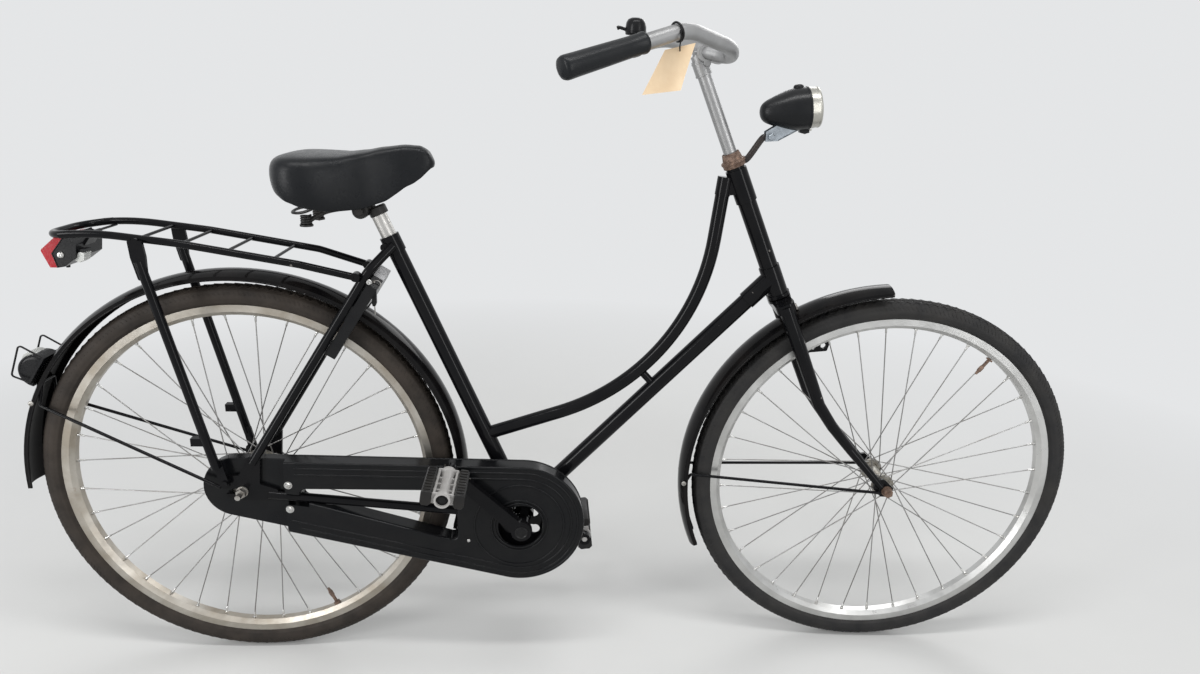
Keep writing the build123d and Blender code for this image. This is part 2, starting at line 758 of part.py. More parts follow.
def rail_height(x):
    """The rail's height at x, along its straight middle runs."""
    points = rail_points()
    for a, b in zip(points, points[1:]):
        if b.X <= x <= a.X:
            return a.Z + (b.Z - a.Z) * (x - a.X) / (b.X - a.X)
    return points[-1].Z


def make_carrier(stays):
    """The carrier's rail, one bar bent round the rear end, with four wires across and a clip on each stay."""
    right = rail_points()
    left = [Vector(p.X, -p.Y, p.Z) for p in reversed(right)]
    radii = [60, 400, 400, 45, 45, 400, 400, 60]
    loop = bent_rod(right + left, rail_d, radii)
    pieces = [loop]
    for x in (-118, -55, 12, 82):
        z = rail_height(x)
        pieces.append(rod((x, -rail_half_gap, z), (x, rail_half_gap, z), carrier_wire_d))
    clip = right[0] + Vector(3, 0, 0)
    for side in (-1, 1):
        inner, outer = (side_point(side * (rail_half_gap - reach), clip) for reach in (24, 8))
        pieces.append(rod(inner, outer, 15))
    return joined(pieces) - stays


def make_carrier_legs(carrier, stays):
    """The carrier's two legs, flat at the top, with a strap hook near the foot."""
    legs = []
    y = -rail_half_gap - rail_d / 2
    eye = eyelet_centre()
    top = Vector(leg_head_x, y - 4, rail_height(leg_head_x) - 34)
    foot = Vector(eye.X - 10, -dropout_out_y - 12, eye.Z + 30)
    leg = rod(top, foot, leg_d)
    head = [(-13, 34), (9, 33), (12, 8), (11, -30), (-3, -30), (-11, 6)]
    leg += plate([(top.X + x, top.Z + z) for x, z in head], y - 7, y - 2, 3)
    leg += disc(Vector(top.X - 2, 0, top.Z + 32), y - 7, y + 2, 5)
    tab = [(foot.X - 7, foot.Z + 14), (foot.X + 7, foot.Z + 14), (eye.X + 8, eye.Z - 6), (eye.X - 8, eye.Z - 6)]
    leg += plate(tab, -dropout_out_y - 10, -dropout_out_y - 5, 2)
    hook = foot + (top - foot) * 0.12
    leg += Pos(hook.X - 14, hook.Y, hook.Z + 8) * Box(22, 12, 14)
    leg += disc(eye, -dropout_out_y - 13, -dropout_out_y - 3, 5.5)
    legs = both_sides(leg - carrier - stays)
    return Compound(children=legs)


def make_tail_lamp(carrier):
    """The tail lamp under the carrier's rear bend: its housing with a bracket, and the lens round it."""
    x, z = carrier_rear_x, carrier_rear_z - tail_lamp_drop
    seam = [(x - 2, z + 8), (x + 4, z - 15)]
    lens = plate([(x + 20, z + 36), (x + 5, z + 34), (x - 19, z + 13), (x - 8, z - 15), seam[1], seam[0]],
                 -tail_lamp_half_w, tail_lamp_half_w)
    housing = plate([(x + 20.3, z + 36), (x - 1.7, z + 8), (x + 4.3, z - 15), (x + 15, z - 13), (x + 33, z + 1),
                     (x + 36, z + 22), (x + 27, z + 33)], -tail_lamp_half_w, tail_lamp_half_w)
    lens = fillet(lens.edges().filter_by(Axis.Y).sort_by(Axis.X)[0], 4)
    bracket = plate([(x + 32, z + 20), (x + 36, z + 17), (x + 51, z + 38), (x + 47, z + 41)], -15, 15)
    bracket += rod((x + 49, -rail_half_gap, z + 39), (x + 49, rail_half_gap, z + 39), 4)
    return housing + bracket - carrier, lens


def make_mudguard_lamp():
    """The small lamp on the mudguard, between two wire loops that stand along the wheel."""
    body = Pos(mudguard_r + 6, 0, 12) * Cylinder(29, 46, rotation=(90, 0, 0))
    body = fillet(body.edges(), 7)
    foot = Pos(mudguard_r + 2, 0, 3) * Box(4, 64, 56)
    inner = Cylinder(mudguard_r + touch_gap, 200, rotation=(90, 0, 0))
    pieces = [body, foot]
    for y in (-30, 30):
        pieces.append(bent_rod([(mudguard_r + 1, y, -23), (mudguard_r + 44, y, -23), (mudguard_r + 31, y, 33),
                                (mudguard_r + 1, y, 28)], 3, 5))
    lamp = joined(pieces) - inner
    return on_wheel(lamp.rotate(Axis.Y, -mudguard_lamp_angle), rear_centre)


def make_ring_lock(stays, guard):
    """The ring lock: a horseshoe round the tyre, in front of the seat stays."""
    low, high = wheel_r - 66, mudguard_r + 70
    half = mudguard_width / 2 + 4
    wall, depth = 15, 18
    outline = [(low, -half - wall), (high - 20, -half - wall), (high, -half + 8), (high, half - 8),
               (high - 20, half + wall), (low, half + wall), (low, half), (mudguard_r + 12, half),
               (mudguard_r + 12, -half), (low, -half)]
    face = make_face(Polyline(*outline, close=True))
    face = fillet(face.vertices().filter_by_position(Axis.X, high - 21, high + 1), 6)
    body = extrude(face, amount=depth, dir=(0, 0, 1))
    stay = stay_corner() - seat_stay_foot()
    lean = degrees(atan2(stay.Z, stay.X))
    foot = seat_stay_foot()
    offset = -(foot.X - rear_centre.X) * sin(radians(lean)) + (foot.Z - rear_centre.Z) * cos(radians(lean))
    body = Pos(0, 0, offset - stay_d / 2 - depth - 1.5) * body
    for side in (-1, 1):
        body += Pos(mudguard_r - 10, side * (half + 7), offset - stay_d / 2 - 1) * Box(30, 14, 4)
    return on_wheel(body.rotate(Axis.Y, -lean), rear_centre) - stays - guard


# --- Steering ----------------------------------------------------------------------------------------

crown_top = head_tube_low_z - 7
blade_y = mudguard_width / 2 + 11
fork_end_y = fork_gap / 2


def make_fork():
    """The steerer, crown, raked blades and fork ends, in one piece."""
    top = head_point(head_tube_high_z + 6)
    low = head_point(crown_top)
    fork = rod(low, top, steerer_d)
    fork += rod(low, low + head_dir * 5, head_tube_d + 8)
    crown_plane = Plane(origin=low - head_dir * 13, x_dir=LEFT, z_dir=head_dir)
    crown = extrude(crown_plane * RectangleRounded(2 * blade_y + 20, 34, 12),
                    amount=16)
    fork += crown
    for side in (-1, 1):
        a = side_point(side * blade_y, low - head_dir * 2)
        b = side_point(side * (blade_y + 1.5), head_point(wheel_r + 163))
        c = side_point(side * (fork_end_y + 3), wheel_point(front_centre, 14, 146))
        fork += cone(a, b, blade_d + 5, blade_d)
        fork += raked_blade(b, c)
        plate_low, plate_high = sorted((side * fork_end_y, side * (fork_end_y + dropout_wall)))
        cx, cz = front_centre.X, front_centre.Z
        fork += plate([(cx - 22, cz + 22), (cx - 26, cz + 4), (cx - 10, cz - 12), (cx + 9, cz - 12),
                       (cx + 12, cz + 6),
                       (cx - 8, cz + 24)], plate_low, plate_high, 3)
    slot = disc(front_centre, -100, 100, axle_d / 2 + 0.2)
    bore_end = head_point(head_tube_low_z + 30)
    quill = rod(bore_end, top + head_dir, stem_d + 2 * seat_gap)
    return fork - slot - quill


def raked_blade(start, end):
    """The raked lower half of a fork blade, three tapered runs that turn forward."""
    turn = [start, start + Vector(30, 0, -42), start + Vector(68, 0, -86), end]
    sizes = [blade_d, 20, 17.5, blade_tip_d]
    total = None
    for a, b, da, db in zip(turn, turn[1:], sizes, sizes[1:]):
        piece = cone(a, b, da, db)
        knee = Pos(a.X, a.Y, a.Z) * Sphere(da / 2)
        total = piece + knee if total is None else total + piece + knee
    return total


def make_headset():
    """The upper race and locknut on the steerer, with the lamp arm's washer between them."""
    base = head_point(head_tube_high_z) + head_dir * 0.8
    step, top = base + head_dir * 9, base + head_dir * 24
    ring = rod(base, step, head_tube_d + 6) + rod(step, top, head_tube_d)
    steerer = rod(base - head_dir * 5, base + head_dir * 40, steerer_d + 2 * seat_gap)
    return ring - steerer - stem_quill_room()


def stem_quill_room():
    """The space the stem takes through the locknut."""
    return rod(head_point(head_tube_high_z), head_point(head_tube_high_z + 60), stem_d + 2 * seat_gap)


def bar_points():
    """The corner points of the handlebar's right half, from its clamp to its end."""
    clamp = clamp_point()
    return [clamp + Vector(0, -10, 0), clamp + Vector(37, -44, -9), clamp + Vector(26, -95, 5),
            clamp + Vector(-52, -178, 24), clamp + Vector(-218, -287, -35)]


def clamp_point():
    """The middle of the stem's handlebar clamp."""
    return head_point(stem_top_z) + head_front * 13


def make_stem():
    """The stem: a quill up the steering axis, a collar, and a clamp across its head."""
    clamp = clamp_point()
    top = head_point(stem_top_z)
    stem = rod(head_point(head_tube_low_z + 60), top, stem_d)
    stem += rod(top - head_dir * 34, top - head_dir * 8, stem_d + 4)
    stem += rod(side_point(-clamp_half_w, clamp), side_point(clamp_half_w, clamp), bar_d + 2 * clamp_wall)
    return stem


def make_handlebar(extra=0):
    """The handlebar, one bar swept back to both grips, thicker by extra all round."""
    right = bar_points()
    left = [Vector(p.X, -p.Y, p.Z) for p in right]
    points = list(reversed(left)) + right
    return bent_rod(points, bar_d + 2 * extra, [110, 80, 40, 18, 18, 40, 80, 110])


def make_grips(bar):
    """The two grips, over the handlebar's ends."""
    points = bar_points()
    end, before = points[-1], points[-2]
    back = (end - before).normalized()
    front = end - back * grip_length
    grip = cone(front, end + back * 3, grip_d - 4, grip_d)
    grip = grip - bar
    return Compound(children=both_sides(grip))


def make_bell(bar, grips):
    """The bell on the left of the handlebar: a dome on a clip, with its lever to the rear."""
    points = bar_points()
    end, before = points[-1], points[-2]
    way = (before - end).normalized()
    spot = end + way * (grip_length + 14)
    at = Vector(spot.X, -spot.Y, spot.Z)
    along = Vector(way.X, -way.Y, way.Z)
    clip = rod(at - along * 7, at + along * 7, bar_d + 7)
    post = rod(at, at + Vector(0, 0, 26), 10)
    dome = rod(at + Vector(0, 0, 25), at + Vector(0, 0, 55), 39)
    dome = fillet(dome.edges().sort_by(Axis.Z)[-1], 14)
    lever = Pos(at.X - 25, at.Y, at.Z + 34) * Box(20, 8, 4)
    return clip + post + dome + lever - bar - grips


def lamp_centre():
    """The middle of the headlamp's chrome ring."""
    return head_point(head_tube_high_z) + Vector(116, 0, 101)


lamp_dir = Vector(cos(radians(8)), 0, sin(radians(8)))
lamp_d = 70
lamp_length = 84


def make_headlamp():
    """The headlamp: a bullet shell, its ring and its lens."""
    ring_at = lamp_centre()
    frame = Plane(origin=ring_at, x_dir=lamp_dir, z_dir=Vector(0, -1, 0))
    half = lamp_d / 2
    arc = Spline((-lamp_length, 0), (-lamp_length * 0.78, half * 0.62), (-lamp_length * 0.42, half * 0.93),
                 (-6, half), tangents=[(0, 1), (1, 0)])
    outline = make_face(arc + Line((-6, half), (-6, 0)) + Line((-6, 0), (-lamp_length, 0)))
    shell = frame * revolve(outline, Axis.X)
    section = Polyline((-6, half - 1), (10, half - 3), (12, half - 8), (-6, half - 8), close=True)
    ring = frame * revolve(make_face(section), Axis.X)
    glass_r, bulge = half - 8, 6
    ball_r = (glass_r**2 + bulge**2) / (2 * bulge)
    lens = rod(ring_at - lamp_dir * 6, ring_at + lamp_dir * 12, 2 * glass_r)
    lens = lens & Pos(*(ring_at + lamp_dir * (3 + bulge - ball_r))) * Sphere(ball_r)
    return shell, ring, lens


def make_lamp_arm(headset, shell):
    """The headlamp's cranked arm from the headset and the plate under the lamp."""
    base = head_point(head_tube_high_z) + head_dir * 5
    lamp = lamp_centre()
    bolt = lamp + Vector(-62, 0, -49)
    arm = bent_rod([base + head_front * 17, base + head_front * 25 + Vector(0, 0, 2), bolt + Vector(-14, 0, -5),
                    bolt], 11, 7)
    cheek = plate([(bolt.X - 9, bolt.Z - 8), (bolt.X + 12, bolt.Z - 6), (bolt.X + 46, bolt.Z + 14),
                   (bolt.X + 24, bolt.Z + 30), (bolt.X - 9, bolt.Z + 8)], -9, 9, 2)
    return arm + cheek - headset - shell - rod(base - head_dir * 10, base + head_dir * 30, head_tube_d + 4)


def make_front_mudguard(fork):
    """The front mudguard, from over the tyre's crown down behind it."""
    guard = on_wheel(ring_about_y(mudguard_profile(), 203, 108), front_centre)
    return guard - fork


def make_dynamo_bracket(fork):
    """The dynamo's plate on the left fork blade, with its two slots."""
    at = head_point(wheel_r + 243)
    y = blade_y - 4
    tab = plate([(at.X + 10, at.Z - 24), (at.X + 30, at.Z - 6), (at.X + 62, at.Z - 2), (at.X + 66, at.Z + 16),
                 (at.X + 52, at.Z + 22), (at.X + 20, at.Z + 4), (at.X + 2, at.Z + 2)], y, y + 5, 3)
    slot = disc(Vector(at.X + 54, 0, at.Z + 8), y - 1, y + 6, 5)
    slot += disc(Vector(at.X + 36, 0, at.Z + 3), y - 1, y + 6, 3.5)
    return tab - slot - fork


# --- Build -------------------------------------------------------------------------------------------


def build():
    """Makes and saves every node."""
    os.makedirs("parts", exist_ok=True)
    bracket = make_bottom_bracket()
    head_tube = make_head_tube()
    seat_tube = make_seat_tube(bracket)
    curved = make_curved_tube(head_tube, seat_tube)
    down = make_down_tube(head_tube, bracket, curved)
    seat_tube = seat_tube - down
    chain_stays = make_chain_stays()
    chain_stays -= seat_tube
    seat_stays = make_seat_stays(seat_tube, chain_stays)
    rear_axle = make_axle(rear_centre, 85, 15, 50.5, dropout_in_y)
    post = make_seat_post()
    guard = make_rear_mudguard(chain_stays + seat_stays)
    foot = eyelet_centre() + Vector(-8, -dropout_out_y - 8, -8)
    wires = wire_over(rear_centre, 151, foot, 157) - chain_stays - rear_axle
    case, cap = make_chaincase(chain_stays + seat_stays)
    carrier = make_carrier(seat_stays)
    legs = make_carrier_legs(carrier, chain_stays)
    wires -= legs
    tail, tail_lens = make_tail_lamp(carrier)
    save("bottom_bracket", bracket)
    save("head_tube", head_tube)
    save("curved_top_tube", curved)
    save("down_tube", down)
    save("seat_tube", seat_tube)
    save("chain_stays", chain_stays - rear_axle)
    save("seat_stays", seat_stays)
    save("rear_axle", rear_axle)
    save("seat_post", post)
    saddle = make_saddle()
    save("saddle", saddle)
    save("saddle_frame", make_saddle_frame(post, saddle))
    save("rear_mudguard", guard)
    save("rear_mudguard_wires", wires)
    save("chaincase", case)
    save("chaincase_cap", cap)
    save("brake_arm", make_brake_arm(chain_stays))
    save("carrier_rails", carrier)
    save("carrier_legs", legs)
    save("tail_lamp", tail)
    save("tail_lamp_lens", tail_lens)
    save("mudguard_lamp", make_mudguard_lamp())
    save("ring_lock", make_ring_lock(seat_stays, guard))
    save("chainring", make_chainring())
    save("crank_spindle", make_spindle())
    save("crank_right", make_crank(-1))
    save("crank_left", make_crank(1))
    save("pedal_right", make_pedal(-1, 8))
    save("pedal_left", make_pedal(1, 84))
    fork = make_fork()
    front_axle = make_axle(front_centre, 68, 15, 41, fork_end_y)
    headset = make_headset()
    stem = make_stem()
    bar = make_handlebar()
    grips = make_grips(bar)
    shell, ring, lens = make_headlamp()
    front_guard = make_front_mudguard(fork)
    front_foot = front_centre + Vector(-14, -fork_end_y - 9, -2)
    front_wires = wire_over(front_centre, 183, front_foot, 179) - fork - front_axle
    save_steered("fork", fork - front_axle)
    save_steered("front_axle", front_axle)
    save_steered("headset", headset)
    save_steered("stem", stem - fork - make_handlebar(seat_gap))
    save_steered("handlebar", bar)
    save_steered("grips", grips)
    save_steered("bell", make_bell(bar, grips))
    save_steered("headlamp_shell", shell)
    save_steered("headlamp_ring", ring)
    save_steered("headlamp_lens", lens)
    save_steered("lamp_arm", make_lamp_arm(headset, shell))
    save_steered("front_mudguard", front_guard)
    save_steered("front_mudguard_wires", front_wires)
    save_steered("dynamo_bracket", make_dynamo_bracket(fork))
    make_wheel("front", front_centre, make_front_hub(), front_flange_r, front_flange, front_flange,
               save_steered)
    make_wheel("rear", rear_centre, make_rear_hub(), rear_flange_r, rear_flange_left, rear_flange_right,
               save)


build()
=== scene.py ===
"""City bicycle: finishes, detail pieces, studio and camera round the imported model.

The shared frame is in metres: x forward, y to the rider's left, z up. The small forms are given in
millimetres, and at() and by() bring places and offsets into the shared frame.
"""

from __future__ import annotations

import json
import logging
import math
from dataclasses import dataclass
from enum import Enum
from functools import partial
from typing import Callable, Iterator, Sequence

import bmesh
import bpy
from mathutils import Matrix, Vector

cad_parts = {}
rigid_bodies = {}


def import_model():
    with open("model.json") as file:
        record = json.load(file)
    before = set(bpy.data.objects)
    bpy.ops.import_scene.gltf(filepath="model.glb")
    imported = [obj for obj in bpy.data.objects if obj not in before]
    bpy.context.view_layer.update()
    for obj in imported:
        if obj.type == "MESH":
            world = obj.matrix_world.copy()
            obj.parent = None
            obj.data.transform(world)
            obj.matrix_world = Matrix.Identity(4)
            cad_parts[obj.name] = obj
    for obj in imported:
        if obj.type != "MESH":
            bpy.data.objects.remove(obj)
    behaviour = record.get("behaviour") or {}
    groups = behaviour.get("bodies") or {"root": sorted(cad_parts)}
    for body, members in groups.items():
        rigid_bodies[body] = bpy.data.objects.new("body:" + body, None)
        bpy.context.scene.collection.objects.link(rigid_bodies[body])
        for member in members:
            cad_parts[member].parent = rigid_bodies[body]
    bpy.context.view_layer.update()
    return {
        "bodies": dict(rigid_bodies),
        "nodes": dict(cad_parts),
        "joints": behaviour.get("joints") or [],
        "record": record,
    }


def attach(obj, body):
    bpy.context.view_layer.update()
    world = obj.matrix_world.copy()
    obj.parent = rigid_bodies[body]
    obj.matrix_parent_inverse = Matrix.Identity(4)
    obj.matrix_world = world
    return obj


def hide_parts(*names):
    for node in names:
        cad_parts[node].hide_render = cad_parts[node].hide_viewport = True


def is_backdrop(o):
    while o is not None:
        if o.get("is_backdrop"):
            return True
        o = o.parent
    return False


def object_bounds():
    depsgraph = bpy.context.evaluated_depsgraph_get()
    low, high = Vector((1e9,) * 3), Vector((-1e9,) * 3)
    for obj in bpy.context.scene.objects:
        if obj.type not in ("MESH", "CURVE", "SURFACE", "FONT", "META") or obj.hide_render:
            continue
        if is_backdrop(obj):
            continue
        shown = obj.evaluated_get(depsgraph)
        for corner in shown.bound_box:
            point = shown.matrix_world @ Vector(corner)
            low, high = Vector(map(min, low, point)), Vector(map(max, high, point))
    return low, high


LOG = logging.getLogger("bicycle")
MM = 0.001
Colour = tuple[float, float, float]
Point = Sequence[float]
Profile = Sequence[tuple[float, float]]
Socket = bpy.types.NodeSocket
Tree = bpy.types.NodeTree
Piece = bpy.types.Object
SEAT = Vector((0.1911, 0.0, 0.936))
HEAD_ANGLE = math.radians(66.0)
STEERING_TURN = math.radians(-3.3)
FORK_RAKE = 65.0
FRONT_AXLE = (1160.0, 0.0, 357.0)
REAR_AXLE = (0.0, 0.0, 357.0)
CRANK_CENTRE = (482.5, 0.0, 290.0)
CRANK_LENGTH = 172.0
CRANK_TURN = 136.5
HEAD_TUBE_LOW = 712.0
HEAD_TUBE_TOP = 934.0
STEERER = Vector((-math.cos(HEAD_ANGLE), 0.0, math.sin(HEAD_ANGLE)))
RIGHT, LEFT = -1, 1
SIDES = (RIGHT, LEFT)
WELD = 1e-6
SHARP = 38.0


def at(x: float, y: float, z: float) -> Vector:
    """A place in millimetres from the rear wheel's foot, in the shared frame."""
    return Vector((x, y, z)) * MM - SEAT


def by(x: float, y: float, z: float) -> Vector:
    """An offset in millimetres."""
    return Vector((x, y, z)) * MM


def turns(count: int) -> Iterator[float]:
    """Equal steps round a circle, in radians."""
    return (2 * math.pi * k / count for k in range(count))


def on_head(z: float) -> Vector:
    """The point of the steering axis at height z."""
    ahead = FORK_RAKE / math.sin(HEAD_ANGLE) + (z - FRONT_AXLE[2]) / math.tan(HEAD_ANGLE)
    return at(FRONT_AXLE[0] - ahead, 0.0, z)


def crank_end(side: int) -> tuple[float, float, float]:
    """Where the pedal's axis on one side meets the bicycle's middle plane, in millimetres."""
    a = math.radians(CRANK_TURN + (0 if side == RIGHT else 180))
    return CRANK_CENTRE[0] + CRANK_LENGTH * math.cos(a), 0.0, CRANK_CENTRE[2] + CRANK_LENGTH * math.sin(a)


def steering_turn() -> Matrix:
    """The turn of the front end about the steering axis at rest."""
    pivot = on_head(HEAD_TUBE_LOW)
    return Matrix.Translation(pivot) @ Matrix.Rotation(STEERING_TURN, 4, STEERER) @ Matrix.Translation(-pivot)


class Body(Enum):
    """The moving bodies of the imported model."""

    FRAME = "frame"
    STEERING = "steering"
    FRONT_WHEEL = "front_wheel"
    REAR_WHEEL = "rear_wheel"
    CRANKSET = "crankset"
    PEDAL_RIGHT = "pedal_right"
    PEDAL_LEFT = "pedal_left"


class Grain(Enum):
    """How a surface's fine relief runs."""

    PEEL = "peel"
    PEBBLE = "pebble"
    CAST = "cast"
    BRUSHED = "brushed"
    TURNED = "turned"


# Node trees


class Wiring:
    """Short calls that add nodes to a tree and join their sockets."""

    def __init__(self, tree: Tree) -> None:
        """Takes over a tree."""
        self.tree = tree

    @classmethod
    def of(cls, owner: bpy.types.ID) -> Wiring:
        """Empties the node tree of a material or world and takes it over.

        Args:
            owner: The material or world.

        Returns:
            The wiring of its tree.
        """
        owner.use_nodes = True
        owner.node_tree.nodes.clear()
        return cls(owner.node_tree)

    def add(self, kind: str, inputs: dict | None = None, **settings: object) -> bpy.types.Node:
        """Adds one node.

        Args:
            kind: The node's type name.
            inputs: What each input gets, a plain value or another node's output socket.
            settings: The node's own properties.

        Returns:
            The new node.
        """
        node = self.tree.nodes.new(kind)
        for key, value in settings.items():
            setattr(node, key, value)
        for key, value in (inputs or {}).items():
            if isinstance(value, Socket):
                self.tree.links.new(value, node.inputs[key])
            else:
                node.inputs[key].default_value = value
        return node

    def group(self, tree: Tree, **inputs: object) -> bpy.types.Node:
        """Adds a shared group with its values."""
        return self.add("ShaderNodeGroup", inputs, node_tree=tree)

    def math(self, operation: str, *values: object, clamp: bool = False) -> Socket:
        """Adds a Math node and returns its output."""
        inputs = dict(enumerate(values))
        return self.add("ShaderNodeMath", inputs, operation=operation, use_clamp=clamp).outputs[0]

    def times(self, *values: object, clamp: bool = False) -> Socket:
        """Multiplies two values."""
        return self.math("MULTIPLY", *values, clamp=clamp)

    def span(self, value: Socket, low: float, high: float, to_low: float = 0.0,
             to_high: float = 1.0) -> Socket:
        """Maps low..high to to_low..to_high, clamped, and returns the output."""
        inputs = {"Value": value, "From Min": low, "From Max": high, "To Min": to_low, "To Max": to_high}
        return self.add("ShaderNodeMapRange", inputs, clamp=True).outputs[0]

    def mix(self, share: object, first: object, second: object) -> Socket:
        """Mixes two colours, each a socket or a plain colour, and returns the output."""
        first, second = (v if isinstance(v, Socket) else (*v, 1.0) for v in (first, second))
        return self.add("ShaderNodeMix", {0: share, 6: first, 7: second}, data_type="RGBA").outputs[2]

    def noise(self, vector: object, scale: object, detail: float = 4.0, rough: float = 0.55) -> Socket:
        """Adds a noise texture and returns its factor."""
        inputs = {"Vector": vector, "Scale": scale, "Detail": detail, "Roughness": rough}
        return self.add("ShaderNodeTexNoise", inputs).outputs[0]

    def place(self) -> Socket:
        """The point's place on the object."""
        return self.add("ShaderNodeTexCoord").outputs["Object"]

    def bump(self, depth: float, height: Socket) -> Socket:
        """A normal from a height, whose full swing is depth."""
        return self.add("ShaderNodeBump", {"Strength": 1.0, "Distance": depth, "Height": height}).outputs[0]

    def surface(self, socket: Socket, kind: str = "Material") -> None:
        """Ends the tree in its output node."""
        self.add(f"ShaderNodeOutput{kind}", {"Surface": socket})


def new_group(name: str, kind: str, inputs: dict[str, tuple[str, object]], outputs: str) -> tuple:
    """Makes a node group with named sockets.

    Args:
        name: The group's name.
        kind: Shader or Geometry.
        inputs: For each input, its socket type and its default, or None.
        outputs: The name and socket type of each output, as in "Mask:Float".

    Returns:
        The wiring, the group's input sockets by name and its output node.
    """
    tree = bpy.data.node_groups.new(name, kind + "NodeTree")
    for label, (socket_type, default) in inputs.items():
        socket = tree.interface.new_socket(name=label, in_out="INPUT", socket_type="NodeSocket" + socket_type)
        if default is not None:
            socket.default_value = default
    for label, socket_type in (pair.split(":") for pair in outputs.split()):
        tree.interface.new_socket(name=label, in_out="OUTPUT", socket_type="NodeSocket" + socket_type)
    wiring = Wiring(tree)
    return wiring, wiring.add("NodeGroupInput").outputs, wiring.add("NodeGroupOutput").inputs


class Effects:
    """The shader node groups that the finishes share, each built once."""

    def __init__(self) -> None:
        """Builds every group."""
        self.dust = self._dust()
        self.rust = self._rust()
        self.chips = self._chips()
        self.streaks = self._streaks()
        self.around = self._around()

    @staticmethod
    def _start(name: str, outputs: str, amount: float, size: float) -> tuple:
        """A shader group with a place, an amount and a size of noise.

        Args:
            name: The group's name.
            outputs: Its outputs, as new_group takes them.
            amount: What the amount is where none is given.
            size: What the size is where none is given.

        Returns:
            The wiring, the place, the amount, the size and the outputs.
        """
        inputs = {"Vector": ("Vector", None), "Amount": ("Float", amount), "Size": ("Float", size)}
        w, given, out = new_group(name, "Shader", inputs, outputs)
        return w, given["Vector"], given["Amount"], given["Size"], out

    def _dust(self) -> Tree:
        """Dust that settles on faces that look up, broken by two sizes of noise.

        Returns:
            The finished group.
        """
        w, place, amount, size, out = self._start("settled_dust", "Mask:Float", 0.3, 30.0)
        normal = w.add("ShaderNodeNewGeometry").outputs["Normal"]
        lie = w.span(w.add("ShaderNodeSeparateXYZ", {0: normal}).outputs["Z"], -0.4, 0.95, 0.25, 1.0)
        broad = w.noise(place, size)
        fine = w.noise(place, w.times(size, 14.0), 6.0, 0.7)
        both = w.times(w.span(broad, 0.35, 0.75), w.span(fine, 0.35, 0.8, 0.35, 1.0))
        w.tree.links.new(w.times(w.times(both, lie), amount, clamp=True), out["Mask"])
        return w.tree

    def _rust(self) -> Tree:
        """Rust in spots and in the streaks round them.

        Returns:
            The finished group.
        """
        w, place, amount, size, out = self._start("rust_spots", "Mask:Float Height:Float", 0.2, 120.0)
        broad = w.noise(place, size, 6.0, 0.65)
        fine = w.noise(place, w.times(size, 7.0), 5.0, 0.7)
        total = w.math("ADD", w.times(broad, 0.75), w.times(fine, 0.25))
        edge = w.math("SUBTRACT", 0.78, w.times(amount, 0.42))
        mask = w.times(w.math("SUBTRACT", total, edge), 9.0, clamp=True)
        w.tree.links.new(mask, out["Mask"])
        w.tree.links.new(w.times(mask, fine), out["Height"])
        return w.tree

    def _chips(self) -> Tree:
        """Small chips in paint, sharp-edged and far apart.

        Returns:
            The finished group.
        """
        w, place, amount, size, out = self._start("paint_chips", "Mask:Float", 0.2, 90.0)
        cells = w.add("ShaderNodeTexVoronoi", {"Vector": place, "Scale": size, "Randomness": 1.0})
        pick = w.add("ShaderNodeSeparateColor", {0: cells.outputs["Color"]}).outputs[0]
        rare = w.math("LESS_THAN", pick, w.times(amount, 0.16))
        ragged = w.math("ADD", cells.outputs["Distance"], w.times(w.noise(place, 900.0, 3.0), 0.3))
        spot = w.math("LESS_THAN", ragged, 0.34)
        w.tree.links.new(w.times(rare, spot), out["Mask"])
        return w.tree

    @staticmethod
    def _streaks() -> Tree:
        """Fine scratches along one direction, in broad patches.

        Returns:
            The finished group.
        """
        inputs = {"Vector": ("Vector", None), "Stretch": ("Vector", (1.0, 1.0, 1.0)),
                  "Amount": ("Float", 0.3)}
        w, given, out = new_group("rubbed_streaks", "Shader", inputs, "Mask:Float Height:Float")
        drawn = w.add("ShaderNodeVectorMath", {0: given["Vector"], 1: given["Stretch"]}, operation="MULTIPLY")
        lines = w.noise(drawn.outputs[0], 1.0, 5.0, 0.7)
        patch = w.noise(given["Vector"], 22.0, 3.0)
        mask = w.times(w.span(lines, 0.58, 0.7), w.span(patch, 0.42, 0.62), clamp=True)
        w.tree.links.new(w.times(mask, given["Amount"]), out["Mask"])
        w.tree.links.new(lines, out["Height"])
        return w.tree

    @staticmethod
    def _around() -> Tree:
        """Turns a position into (radius, way round, depth) about an axle along y.

        Returns:
            The finished group.
        """
        inputs = {"Vector": ("Vector", None), "Reach": ("Float", 0.3)}
        w, given, out = new_group("round_an_axle", "Shader", inputs, "Vector:Vector")
        x, y, z = w.add("ShaderNodeSeparateXYZ", {0: given["Vector"]}).outputs
        radius = w.math("SQRT", w.math("ADD", w.times(x, x), w.times(z, z)))
        turn = w.times(w.math("ARCTAN2", z, x), given["Reach"])
        polar = w.add("ShaderNodeCombineXYZ", {0: radius, 1: turn, 2: y})
        w.tree.links.new(polar.outputs[0], out["Vector"])
        return w.tree


# Finishes


